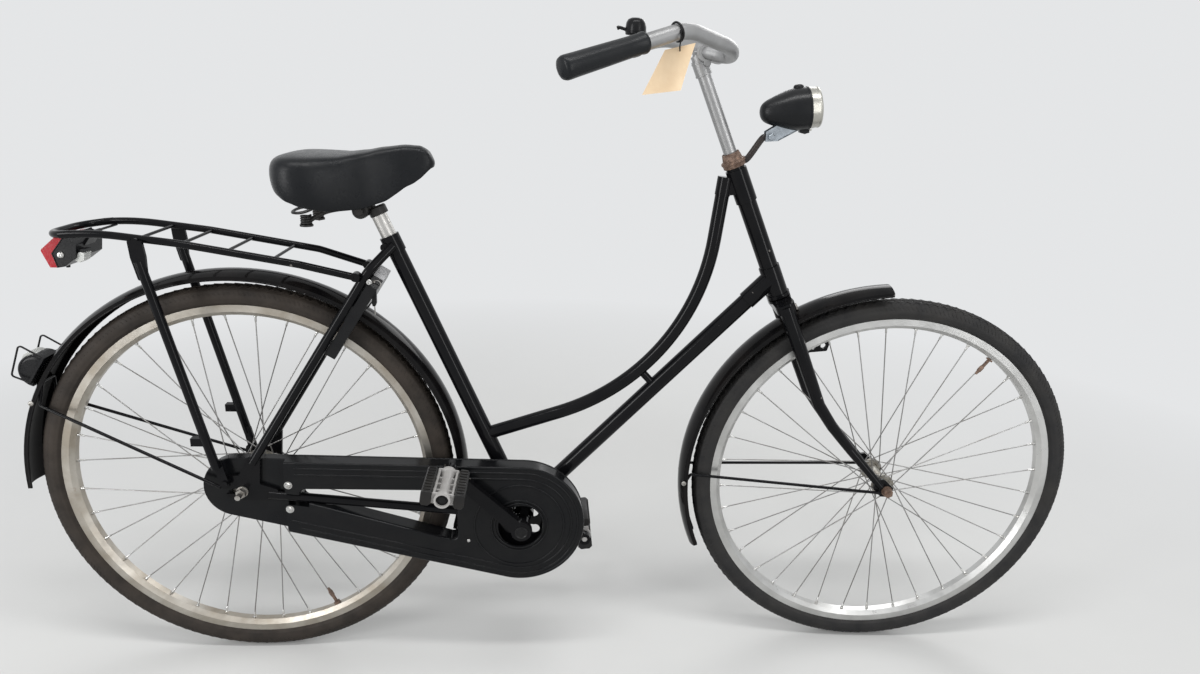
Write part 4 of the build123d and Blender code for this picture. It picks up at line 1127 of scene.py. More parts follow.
    def valve(self, work: Workshop) -> None:
        """The valve stem, its nut and cap, pointing to the axle.

        Args:
            work: Makes the pieces and keeps them.
        """
        foot = self.at(self.rim_inner + 3, self.valve_turn)
        way = (self.centre - foot).normalized()
        shape = Shape().lathe([(3, 0), (3, 22), (3.6, 22), (4, 24), (4, 32), (3, 34), (2.2, 40), (0.5, 41),
                               (0.5, 0)], foot, way, 14)
        shape.lathe([(3, 4), (6.8, 4), (6.8, 7), (3, 7)], foot, way, 6)
        work.make(shape, self.name + "_valve", self.body, "zinc_steel", "rusty_steel")


# Saddle


@dataclass
class Saddle:
    """The padded saddle: one tight vinyl skin over foam, with a raised nose and a full rear."""

    outline: Profile = (
        (142, 0), (139.5, 9), (130, 16), (106, 21.5), (76, 28), (46, 42), (16, 66), (-14, 88),
        (-42, 100.5), (-69, 101), (-90, 87), (-103, 60), (-108.5, 28), (-109.5, 0))
    crown: Profile = (
        (-110, -8), (-97, -1), (-80, 1), (-46, 1), (-1, 1), (33, 5.5), (62, 11.5), (96, 16), (118, 15),
        (132, 10), (142, 0))
    hem: Profile = (
        (-110, -50), (-94, -61), (-71, -71), (-43, -80), (-10, -86), (30, -85), (60, -76), (105, -47),
        (142, -19))
    wall: Profile = (
        (0.93, 0.06), (0.985, 0.20), (1.0, 0.42), (0.995, 0.66), (0.965, 0.86), (0.93, 0.97), (0.905, 1.0),
        (0.88, 0.985), (0.80, 0.9), (0.0, 0.86))
    steps: int = 5

    def build(self, work: Workshop) -> None:
        """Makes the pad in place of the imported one.

        Args:
            work: Makes the pieces and keeps them.
        """
        half = along_curve([(x, y, 0) for x, y in self.outline], self.steps)
        rim = half + [Vector((p.x, -p.y, 0)) for p in reversed(half[1:-1])]
        rings = [[self._spot(p, s, self._top) for p in rim] for s in (0.0, 0.25, 0.5, 0.7, 0.84)]
        rings += [[self._spot(p, s, partial(self._side, drop)) for p in rim] for s, drop in self.wall]
        piece = work.make(Shape().rings(rings, caps=False), "saddle_pad", Body.FRAME, "saddle_cover",
                          "saddle_vinyl", "saddle", crease=180.0, levels=1)

    @staticmethod
    def _spot(p: Vector, s: float, height: Callable[[Vector, float, float], float]) -> Vector:
        """The rim's point p drawn in towards the middle line, at the height that the form has there.

        Args:
            p: A point of the rim.
            s: How far out it lies, from 0 at the middle line to 1 at the rim.
            height: Gives the form's height from p, x and s.

        Returns:
            The place in the model.
        """
        spine = min(max(p.x, -52.0), 118.0)
        x = spine + (p.x - spine) * s
        return Vector((x, p.y * s, height(p, x, s))) * MM

    def _top(self, _: Vector, x: float, s: float) -> float:
        """The top's height, which falls a little towards the rim."""
        return curve_value(self.crown, x) - 4.5 * s * s - 5.0 * s ** 6

    def _side(self, drop: float, p: Vector, x: float, s: float) -> float:
        """The wall's height, a share of the way down to the hem."""
        top = self._top(p, x, min(s, 0.9))
        return top + (curve_value(self.hem, p.x) - top) * drop


# Saddle's springs


@dataclass
class SaddleSprings:
    """The clamp, two arms, the wire loop behind and two small coils under the pad."""

    clamp: tuple[float, float, float] = (213.6, 0.0, 844.5)
    post: tuple[float, float, float] = (237.6, 0.0, 844.0)
    spring: tuple[float, float, float] = (131.6, 34.0, 824.0)
    coil_radius: float = 7.5
    coil_height: float = 15.0
    wire: float = 1.9
    turns: int = 4
    steps: int = 18

    def build(self, work: Workshop) -> None:
        """Makes the whole undercarriage as one piece.

        Args:
            work: Makes the pieces and keeps them.
        """
        cx, _, cz = self.clamp
        sx, sy, sz = self.spring
        shape = Shape()
        for side in SIDES:
            arm = along_curve([at(cx + x, side * y, cz + z) for x, y, z in (
                (16, 12, 6), (-18, 16, 4), (-52, 22, -2), (-76, 30, -15), (sx - cx, sy, sz - 4 - cz))], 6)
            shape.tube(arm, 3.8, 10)
            coil = []
            for k in range(self.steps * self.turns + 1):
                a = 2 * math.pi * k / self.steps
                x, y = sx + self.coil_radius * math.cos(a), side * sy + self.coil_radius * math.sin(a)
                coil.append(at(x, y, sz - 1 + self.coil_height * k / (self.steps * self.turns)))
            shape.tube(coil, self.wire, 8)
            shape.lathe([(0, 0), (10.5, 0), (10.5, 3), (0, 3)], at(sx, side * sy, sz - 4), (0, 0, 1), 20)
        loop = along_curve([at(cx - 40, -44, cz + 20), at(sx + 3, -44, sz + 21), at(sx - 20, -34, sz + 17),
                            at(sx - 26, 0, sz + 17), at(sx - 20, 34, sz + 17), at(sx + 3, 44, sz + 21),
                            at(cx - 40, 44, cz + 20)], 7)
        shape.tube(loop, 2.4, 8)
        for side in SIDES:
            shape.lathe([(0, 0), (13, 0), (13, 6), (11, 9), (0, 9)], at(cx, side * 15, cz), (0, side, 0), 26)
            shape.hex_head(at(cx, side * 24, cz), (0, side, 0), 13, 7)
        up = at(*self.post) - at(*CRANK_CENTRE)
        shape.lathe([(0, 6.5), (13.5, 6.5), (15.4, 4.5), (15.4, -7), (14.8, -8), (12.8, -8), (12.8, 0.3),
                     (0, 0.3)], at(*self.post), up, 32)
        shape.tube([at(*self.clamp), at(self.post[0] - 5, 0, self.post[2] + 3)], 11, 20)
        shape.lathe([(0, -15), (12, -15), (13.5, -12), (13.5, 12), (12, 15), (0, 15)], at(*self.clamp),
                    (0, 1, 0), 26)
        work.make(shape, "saddle_springs", Body.FRAME, "black_steel", "saddle_springs", "saddle_frame")


# Chaincase


@dataclass
class Chaincase:
    """The moulded beads on the chaincase, its screws and the crank's dust caps."""

    front: tuple[float, float] = (482.5, 294.5)
    front_radius: float = 111.5
    rear: tuple[float, float] = (-12.0, 361.5)
    rear_radius: float = 55.5
    face: float = -68.0
    seam: float = 74.0
    front_end: float = 700.0

    def belt(self, shrink: float, y: float, start: float, end: float) -> list[Vector]:
        """The belt line round both ends, kept between two x values.

        Args:
            shrink: How far it lies inside the outline.
            y: The side it is on.
            start: The lowest x.
            end: The highest x.

        Returns:
            The points, from the top run's rear end round the front.
        """
        (fx, fz), (rx, rz) = self.front, self.rear
        big, small = self.front_radius - shrink, self.rear_radius - shrink
        lean = math.atan2(fz - rz, fx - rx)
        spread = math.pi / 2 + math.asin((big - small) / math.hypot(fx - rx, fz - rz))

        def front(a: float) -> Vector:
            """A place on the front arc."""
            return Vector((fx + big * math.cos(a), fz + big * math.sin(a)))

        def rear(a: float) -> Vector:
            """A place on the rear arc."""
            return Vector((rx + small * math.cos(a), rz + small * math.sin(a)))

        points = [rear(lean + spread).lerp(front(lean + spread), k / 24) for k in range(25)]
        points += [front(lean + spread - 2 * spread * k / 48) for k in range(1, 48)]
        points += [front(lean - spread).lerp(rear(lean - spread), k / 24) for k in range(25)]
        points += [rear(lean - spread - (2 * math.pi - 2 * spread) * k / 30) for k in range(1, 30)]
        return [at(x, y, z) for x, z in points if start <= x <= end]

    def build(self, work: Workshop) -> None:
        """Makes the beads, the screws and the caps.

        Args:
            work: Makes the pieces and keeps them.
        """
        beads = Shape()
        for shrink, y, start, radius, count in (
                (1.8, self.face + 2.2, self.seam, 3.0, 10), (10.5, self.face + 0.4, self.seam + 4, 2.2, 10),
                (22.0, self.face + 0.4, self.seam + 4, 2.2, 10), (1.8, -37.4, self.seam, 3.0, 8)):
            beads.tube(self.belt(shrink, y, start, self.front_end), radius, count)
        for radius, height in ((80.0, 1.9), (50.0, 2.0), (44.0, 2.6)):
            beads.lathe([(radius + out, height * rise if rise else -1) for out, rise in (
                (-2.2, 0), (-1.6, 0.6), (-0.7, 1), (0.7, 1), (1.6, 0.6), (2.2, 0))],
                        at(478.5, self.face, 292.5), (0, -1, 0), 96)
        work.make(beads, "chaincase_beads", Body.FRAME, "case_plastic", "case_plastic", crease=50.0)
        rear = self.belt(2.0, -51.8, -100, self.seam - 2)
        turn = max(range(1, len(rear)), key=lambda k: (rear[k] - rear[k - 1]).length)
        work.make(Shape().tube(rear[turn:] + rear[:turn], 2.6, 8), "chaincase_cap_bead", Body.FRAME,
                  "case_plastic", "case_plastic", crease=50.0)
        screws = Shape()
        for z in (372.5, 326.0):
            screws.pan_head(at(80.0, self.face - 0.3, z), (0, -1, 0), 5.2)
            screws.lathe([(0, -3), (7, -3), (7, 0.4), (0, 0.4)], at(80.0, self.face, z), (0, -1, 0), 22)
        screws.pan_head(at(388.0, self.face, 262.0), (0, -1, 0), 3)
        work.make(screws, "chaincase_screws", Body.FRAME, "zinc_steel", "bright_screw")
        caps = Shape()
        for side in SIDES:
            end = at(CRANK_CENTRE[0], side * 88.0, CRANK_CENTRE[2])
            caps.lathe([(0, 0), (11.5, 0), (11.5, 1), (9.8, 1.8), (8.8, 1), (0, 1.4)], end, (0, side, 0), 36)
            caps.lathe([(0, -12), (16.5, -12), (19.2, -10), (19.5, -3.5), (17.8, -0.8), (15, -0.3),
                        (0, -0.3)], end, (0, side, 0), 48, mark=1)
        work.make(caps, "crank_dust_caps", Body.CRANKSET, "black_plastic", "moulded_black black_enamel")


# Pedals


@dataclass
class Pedal:
    """One pedal: a pale barrel and cage between two ribbed rubber treads."""

    body: Body
    side: int
    turn: float

    def __post_init__(self) -> None:
        """Finds the pedal's axis."""
        self.middle = at(*crank_end(self.side))

    def _place(self, points: Sequence[Point]) -> list[Vector]:
        """Turns points given about the pedal's own axis into the shared frame."""
        c, s = math.cos(math.radians(self.turn)), math.sin(math.radians(self.turn))
        return [self.middle + by(x * c + z * s, self.side * y, z * c - x * s) for x, y, z in points]

    def _block(self, shape: Shape, low: Point, high: Point, chamfer: float) -> None:
        """A block with chamfered long edges, from its low to its high corner.

        Args:
            shape: What the block is added to.
            low: Its low corner.
            high: Its high corner.
            chamfer: The width of its chamfers.
        """
        (x0, y0, z0), (x1, y1, z1) = low, high
        c = chamfer
        outline = [(x0 + c, z0), (x1 - c, z0), (x1, z0 + c), (x1, z1 - c), (x1 - c, z1), (x0 + c, z1),
                   (x0, z1 - c), (x0, z0 + c)]
        mx, mz = (x0 + x1) / 2, (z0 + z1) / 2
        shape.rings([self._place([(mx + (x - mx) * grow, y, mz + (z - mz) * grow) for x, z in outline])
                     for y, grow in ((y0, 0.92), (y0 + 1.2, 1.0), (y1 - 1.2, 1.0), (y1, 0.92))])

    def build(self, work: Workshop) -> None:
        """Makes the pedal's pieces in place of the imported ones.

        Args:
            work: Makes the pieces and keeps them.
        """
        node = self.body.value
        axis = (0, self.side, 0)
        cage = Shape().lathe([(5.5, 75), (5.5, 91), (13.5, 91), (13.5, 97), (11, 99), (9.5, 118), (9.5, 158),
                              (11, 174), (13.4, 176), (13.4, 184), (10.2, 184), (9.8, 177), (0, 177),
                              (0, 75)], self.middle, axis, 40)
        cage.lathe([(0, 176), (9.7, 176), (9.7, 180), (6.4, 180.4), (5.8, 181.6), (0, 181.8)], self.middle,
                   axis, 40, mark=1)
        for y0, y1 in ((93.0, 96.5), (174.0, 177.5)):
            self._block(cage, (-19, y0, -10), (19, y1, 10), 3.0)
        for y in (118.0, 138.0, 158.0):
            self._block(cage, (-30, y - 1.5, -6), (30, y + 1.5, 6), 1.5)
        for x in (-15, 15):
            for z in (-8.5, 5.5):
                self._block(cage, (x - 2, 96, z), (x + 2, 178, z + 3), 0.8)
        work.make(cage, node + "_cage", self.body, "grey_plastic", "pedal_grey moulded_black", node,
                  bevel=0.4)
        treads = Shape()
        for low, high in ((-35.5, -18.0), (18.0, 35.5)):
            self._block(treads, (low, 94.0, -13.0), (high, 182.0, 13.0), 4.0)
            for y in (100.5 + 9.1 * k for k in range(9)):
                for z in (-14.4, 12.4):
                    self._block(treads, (low + 2.0, y - 2.6, z), (high - 2.0, y + 2.6, z + 2.0), 0.7)
        work.make(treads, node + "_treads", self.body, "rubber", "pedal_rubber", bevel=0.5)


# Handlebar


@dataclass
class Handlebar:
    """The grips, the bell, the stem's bolts and the card tag on its elastic."""

    elbow: tuple[float, float, float] = (-52.0, 178.0, 24.0)
    end: tuple[float, float, float] = (-218.0, 287.0, -35.0)
    grip_length: float = 132.0
    elastic_radius: float = 12.8

    def __post_init__(self) -> None:
        """Finds the middle of the stem's clamp."""
        self.clamp = at(765.9, 0.0, 1114.3)

    def ends(self, side: int) -> tuple[Vector, Vector]:
        """The bar's end on one side and the unit vector from it inward along the grip."""
        end, elbow = (self.clamp + by(x, side * y, z) for x, y, z in (self.end, self.elbow))
        return end, (elbow - end).normalized()

    def build(self, work: Workshop) -> None:
        """Makes every piece of the handlebar.

        Args:
            work: Makes the pieces and keeps them.
        """
        self.grips(work)
        self.bell(work)
        self.bolts(work)
        self.tag(work)

    def grips(self, work: Workshop) -> None:
        """Two smooth tapered grips with a rounded end and a lip in front.

        Args:
            work: Makes the pieces and keeps them.
        """
        shape = Shape()
        for side in SIDES:
            shape.lathe([(0, -3.2), (10, -3.2), (14.2, -1.8), (15.8, 2), (16, 6), (15.6, 20), (15, 60),
                         (14.2, 100), (13.9, 124), (14.7, 126.5), (14.7, 130), (13.8, self.grip_length),
                         (11.2, 132.2), (11.2, 0)], *self.ends(side), 44)
        work.make(shape, "bar_grips", Body.STEERING, "rubber", "grip_rubber", "grips", crease=50.0)

    def bell(self, work: Workshop) -> None:
        """The bell: a clip round the bar, a post, a deep cap and the thumb lever behind it.

        Args:
            work: Makes the pieces and keeps them.
        """
        end, inward = self.ends(LEFT)
        spot = end + inward * ((self.grip_length + 14) * MM)
        up = (0, 0, 1)
        shape = Shape().lathe([(11.3, -7), (15, -7), (15.4, -5), (15.4, 5), (15, 7), (11.3, 7)], spot,
                              inward, 36)
        shape.lathe([(0, 13), (6, 13), (5, 19), (5.5, 22.5), (17.8, 24), (19, 25), (19.4, 28.5), (19.2, 38),
                     (18.1, 45.5), (15, 51), (9, 54), (0, 54.6)], spot, up, 44)
        shape.lathe([(19.2, 29), (20.1, 29.5), (20.1, 31), (19.2, 31.5)], spot, up, 44)
        lever = [spot + by(x, -1, z) for x, z in ((-8, 31), (-22, 34), (-30, 36), (-35, 34.5))]
        shape.tube(along_curve(lever, 4), [3.0] * 9 + [3.6] * 3 + [3.0], 10, flat=0.6)
        work.make(shape, "handlebar_bell", Body.STEERING, "black_plastic", "moulded_black", "bell",
                  crease=45.0)

    def bolts(self, work: Workshop) -> None:
        """The expander's bolt on the quill, the pinch bolt under the clamp and the collar's rings.

        Args:
            work: Makes the pieces and keeps them.
        """
        shape = Shape()
        top = on_head(1109.0)
        pinch = [self.clamp + by(3, y, -16.5) for y in (-10, 12)]
        shape.hex_head(top - STEERER * (0.2 * MM), STEERER, 12, 7)
        shape.hex_head(pinch[0], (0, -1, 0), 10, 6)
        shape.tube(pinch, 3.5, 12)
        shape.hex_head(pinch[1], (0, 1, 0), 10, 6)
        shape.slab([self.clamp + by(x, -9, z) for x, z in ((-5, -12), (9, -12), (9, -22), (-3, -22))],
                   by(0, 18, 0))
        for spot, axis, inner, outer in ((top - STEERER * (32 * MM), STEERER, 12.5, 13.9),
                                         (top - STEERER * (12 * MM), STEERER, 12.5, 13.9),
                                         (self.clamp + by(0, -16, 0), (0, 1, 0), 11.5, 14.9),
                                         (self.clamp + by(0, 16, 0), (0, 1, 0), 11.5, 14.9)):
            shape.lathe([(inner, -1.6), (outer, -0.8), (outer, 0.8), (inner, 1.6)], spot, axis, 40)
        work.make(shape, "stem_bolts", Body.STEERING, "alloy", "bar_alloy")

    def tag(self, work: Workshop) -> None:
        """A blank card on a black elastic, which hangs from the bar's right bend.

        Args:
            work: Makes the pieces and keeps them.
        """
        corners = [at(x, -187, z) for x, z in ((684.2, 1109.6), (725.3, 1120.2), (709.3, 1057.1),
                                               (655.9, 1048.5))]
        across, down = 10, 14
        rings = []
        for t in (k / down for k in range(down + 1)):
            row = []
            for s in (j / across for j in range(across + 1)):
                p = corners[0].lerp(corners[1], s).lerp(corners[3].lerp(corners[2], s), t)
                p.y += (4.0 * math.sin(math.pi * t) * (s - 0.3) + 2.5 * math.cos(math.pi * s)) * MM
                row.append(p)
            rings.append(row + [p + by(0, 0.5, 0) for p in reversed(row)])
        work.make(Shape().rings(rings), "card_tag", Body.STEERING, "grey_plastic", "buff_card", crease=30.0)
        spot = self.clamp + by(-66.4, -187.5, 18.9)
        _, side, up = square_to(self.ends(RIGHT)[1])
        ring = [spot + (side * math.cos(a) + up * math.sin(a)) * (self.elastic_radius * MM)
                for a in turns(40)]
        band = Shape().tube(ring, 1.7, 8, loop=True)
        band.tube(along_curve([spot + by(3, -11, 2), spot + by(4, -14, -8), spot + by(4, -6, -18),
                               (corners[0] + corners[1]) / 2 + by(0, 0, -6)], 6), 1.0, 8)
        work.make(band, "tag_elastic", Body.STEERING, "rubber", "moulded_black")


# Lamps


@dataclass
class Headlamp:
    """The headlamp's knob, clip and rim bead, and its arm with the folded plate."""

    lean: float = math.radians(8.0)

    def __post_init__(self) -> None:
        """Finds the middle of the lamp's ring and its axes."""
        self.ring = at(947.95, 0.0, 1035.0)
        self.axis = Vector((math.cos(self.lean), 0, math.sin(self.lean)))
        self.up = Vector((-math.sin(self.lean), 0, math.cos(self.lean)))

    def spot(self, ahead: float, above: float) -> Vector:
        """A place in millimetres from the ring's middle, along the lamp's axis and square to it."""
        return self.ring + self.axis * (ahead * MM) + self.up * (above * MM)

    def build(self, work: Workshop) -> None:
        """Makes the lamp's small pieces and its carrier.

        Args:
            work: Makes the pieces and keeps them.
        """
        small = Shape().lathe([(0, -3), (8.5, -3), (8.5, 1.5), (7, 4), (4.5, 5.2), (0, 5.2)],
                              self.spot(-19, 34.2), self.up, 26)
        small.slab([self.spot(x, z) + by(0, -5, 0) for x, z in
                    ((-20, -33), (-4, -34), (-4, -39.5), (-12, -41), (-20, -38))], by(0, 10, 0))
        small.lathe([(32.8, -0.5), (35.4, -0.5), (35.8, 1.2), (35.2, 3), (32.8, 3)], self.spot(-7.5, 0),
                    self.axis, 72)
        work.make(small, "headlamp_fittings", Body.STEERING, "black_plastic", "lamp_shell", crease=40.0)
        rim = Shape().lathe([(27, 8.5), (32.2, 8), (33.2, 10), (32, 12.2), (27.6, 12.8), (26.8, 11)],
                            self.ring, self.axis, 72)
        rim.hex_head(self.spot(-2, -34), -self.up, 5, 3)
        work.make(rim, "headlamp_rim_bead", Body.STEERING, "chrome", "chrome_ring", crease=40.0)
        self.arm(work)

    def arm(self, work: Workshop) -> None:
        """The dark cranked arm and the bluish plate with its bolt.

        Args:
            work: Makes the pieces and keeps them.
        """
        base = on_head(HEAD_TUBE_TOP) + STEERER * (5 * MM)
        ahead = Vector((math.sin(HEAD_ANGLE), 0, math.cos(HEAD_ANGLE)))
        bolt = self.ring + by(-62, 0, -49)
        path = along_curve([base + ahead * (16 * MM), base + ahead * (25 * MM) + by(0, 0, 2),
                            *(bolt + by(x, 0, z) for x, z in ((-14, -5), (-7, -1), (4, 1)))], 6)
        work.make(Shape().tube(path, 5.6, 14), "lamp_arm_bar", Body.STEERING, "black_steel", "brown_steel",
                  "lamp_arm", crease=50.0)
        plate = Shape()
        cheek = ((-9, -8), (12, -6), (46, 14), (24, 30), (-9, 8))
        web = ((12, -6), (46, 14), (45, 16), (11, -4))
        for y, width, outline in ((-9, 2, cheek), (7, 2, cheek), (-9, 18, web)):
            plate.slab([bolt + by(x, y, z) for x, z in outline], by(0, width, 0))
        for side in SIDES:
            plate.hex_head(bolt + by(0, side * 9, 0), (0, side, 0), 10, 5.5)
        work.make(plate, "lamp_plate", Body.STEERING, "zinc_steel", "blued_zinc", bevel=0.4)


@dataclass
class RearLamps:
    """The tail lamp's screws and clear block, and the lens of the lamp on the mudguard."""

    rear: tuple[float, float] = (-262.0, 758.0)
    guard_turn: float = 147.0
    guard_centre: tuple[float, float] = (389.0, 12.0)
    lens_inner: float = 27.0
    lens_outer: float = 29.0
    lens_bulge: float = 4.5

    def spot(self, dx: float, y: float, dz: float) -> Vector:
        """A place in millimetres from the tail lamp's middle."""
        return at(self.rear[0] + dx, y, self.rear[1] + dz)

    def build(self, work: Workshop) -> None:
        """Makes the small pieces of both lamps.

        Args:
            work: Makes the pieces and keeps them.
        """
        screws = Shape()
        for side in SIDES:
            screws.pan_head(self.spot(11, side * 38.0, 6), (0, side, 0), 5.2)
        work.make(screws, "tail_lamp_screws", Body.FRAME, "zinc_steel", "bright_screw")
        block = Shape().slab([self.spot(x, -34, z) for x, z in ((35.5, 10), (45, 9), (43, -3), (36, -7),
                                                                (28, -4))], by(0, 20, 0))
        work.make(block, "tail_lamp_clear_block", Body.FRAME, "clear_lens", "milky_lens_and_highlight", bevel=1.0)
        trim = Shape().lathe([(0, 0), (3.5, 0), (3, 5.5), (0, 6)], self.spot(4, -12, -14.5), (0, 0, -1), 16)
        trim.tube([self.spot(20.3, y, 36) for y in (-38.3, 38.3)], 1.4, 8)
        for side in SIDES:
            trim.tube([self.spot(x, side * 38.2, z) for x, z in ((20, 36), (-2, 8), (4, -15))], 1.0, 8)
        trim.slab([self.spot(x, -33, z) for x, z in ((33, 14), (46, 15), (46, 11), (33, 10))], by(0, 18, 0))
        work.make(trim, "tail_lamp_trim", Body.FRAME, "black_plastic", "moulded_black", crease=50.0)
        self.guard_lens(work)

    def guard_lens(self, work: Workshop) -> None:
        """The lens let into the rear of the mudguard's lamp, whose pale milky finish is a painted highlight.

        Args:
            work: Makes the pieces and keeps them.
        """
        a = math.radians(self.guard_turn)
        out, down = Vector((math.cos(a), 0, math.sin(a))), Vector((-math.sin(a), 0, math.cos(a)))
        reach, drop = self.guard_centre
        centre = at(*REAR_AXLE) + out * (reach * MM) + down * (drop * MM)
        bulge, inner = [], []
        for k in range(13):
            b = math.radians(-57 + 4 * k)
            aim = (out * math.cos(b) + down * math.sin(b)) * MM
            bulge.append(centre + aim * (self.lens_outer + self.lens_bulge * math.sin(math.pi * k / 12)))
            inner.append(centre + aim * self.lens_inner)
        shape = Shape().slab([p + by(0, -15, 0) for p in bulge + inner[::-1]], by(0, 30, 0))
        # The pale milky finish paints the highlight on this lens in place of its own colour.
        work.make(shape, "mudguard_lamp_lens", Body.FRAME, "clear_lens", "milky_lens_and_highlight", crease=50.0)


# Frame fittings


class RingLock:
    """The ring lock's screw, its grey cap and the key on its ring."""

    def build(self, work: Workshop) -> None:
        """Makes the lock's small pieces.

        Args:
            work: Makes the pieces and keeps them.
        """
        screw = Shape().pan_head(at(228.8, -46.5, 732.1), (0, -1, 0), 5.0)
        work.make(screw, "ring_lock_screw", Body.FRAME, "zinc_steel", "bright_screw")
        top = ((235.8, 745.1), (251.0, 735.8), (250.3, 734.6), (235.1, 743.9))
        cap = Shape().rings([[at(x + dx, y, z + dz) for x, z in top]
                             for y, dx, dz in ((-29, -2.3, -3.8), (-24, 0, 0), (24, 0, 0), (29, -2.3, -3.8))])
        work.make(cap, "ring_lock_cap", Body.FRAME, "grey_plastic", "grey_cap", crease=30.0)
        key = Shape().tube([at(239 + 7 * math.cos(a), -40, 727 + 7 * math.sin(a)) for a in turns(24)], 0.8, 6,
                           loop=True)
        key.tube([at(234.5, -40, 692), at(235, -40, 675)], 1.0, 6)
        key.slab([at(x, -42.5, z) for x, z in ((233, 722), (239, 722), (238.5, 695), (236, 690), (232, 690),
                                               (230.5, 695))], by(0, 5, 0), mark=1)
        key.tube([at(228, -31, 727), at(236, -40, 731)], 1.6, 8)
        work.make(key, "ring_lock_key", Body.FRAME, "zinc_steel", "zinc_steel moulded_black", crease=50.0)


@dataclass
class Fittings:
    """Bolts of the mudguards and axle, the mudguards' rolled edges and the headset's race."""

    skirt_radius: float = 368.6
    skirt_half: float = 27.0
    bore: float = 12.85

    def rolled_edges(self, axle: Point, start: float, end: float) -> Shape:
        """The rolled edges along both skirts of a mudguard.

        Args:
            axle: The wheel's axle, in millimetres.
            start: The angle where the mudguard starts, from straight ahead and upward.
            end: The angle where it ends.

        Returns:
            The two beads.
        """
        shape = Shape()
        spread = [math.radians(start + (end - start) * k / 96) for k in range(97)]
        for side in SIDES:
            shape.tube([at(axle[0] + self.skirt_radius * math.cos(a), side * self.skirt_half,
                           axle[2] + self.skirt_radius * math.sin(a)) for a in spread], 1.5, 8)
        return shape

    def headset(self, work: Workshop) -> None:
        """The rusty upper race with its bold ring, round the steerer.

        Args:
            work: Makes the pieces and keeps them.
        """
        race = Shape().lathe([(self.bore, 0), (18.5, 0), (19, 1), (19.2, 6), (20.6, 7), (20.8, 9.5),
                              (20.2, 11.2), (17.4, 12), (16.8, 14), (15.2, 21.5), (14.6, 24.5),
                              (self.bore, 24.5)], on_head(HEAD_TUBE_TOP) + STEERER * (0.8 * MM), STEERER, 56)
        work.make(race, "headset_race", Body.STEERING, "rusty_steel", "rusty_steel", "headset", crease=45.0)

    def build(self, work: Workshop) -> None:
        """Makes the frame's and the front end's fasteners.

        Args:
            work: Makes the pieces and keeps them.
        """
        self.headset(work)
        for name, body, axle, start, end in (("rear_guard_edges", Body.FRAME, REAR_AXLE, -14.0, 181.5),
                                             ("front_guard_edges", Body.STEERING, FRONT_AXLE, 95.5, 202.5)):
            work.make(self.rolled_edges(axle, start, end), name, body, "guard_enamel", "guard_enamel",
                      crease=60.0)
        rear, front, washers = Shape(), Shape(), Shape()
        for side in SIDES:
            rear.pan_head(at(-344, side * 27.6, 504), (0, side, 0), 4.5)
            front.pan_head(at(785, side * 29.0, 347), (0, side, 0), 4.5)
            washers.lathe([(4.7, 0), (8.8, 0), (9.2, 1.2), (8.8, 2.4), (4.7, 2.4)],
                          at(FRONT_AXLE[0], side * 54.2, FRONT_AXLE[2]), (0, side, 0), 30)
        front.hex_head(on_head(697.0) + by(23, 0, -6), (1, 0, 0.4), 12, 6)
        work.make(rear, "rear_guard_bolts", Body.FRAME, "zinc_steel", "zinc_steel")
        work.make(front, "front_guard_bolts", Body.STEERING, "zinc_steel", "zinc_steel")
        work.make(washers, "front_axle_washers", Body.STEERING, "rusty_steel", "rusty_steel")


# Studio


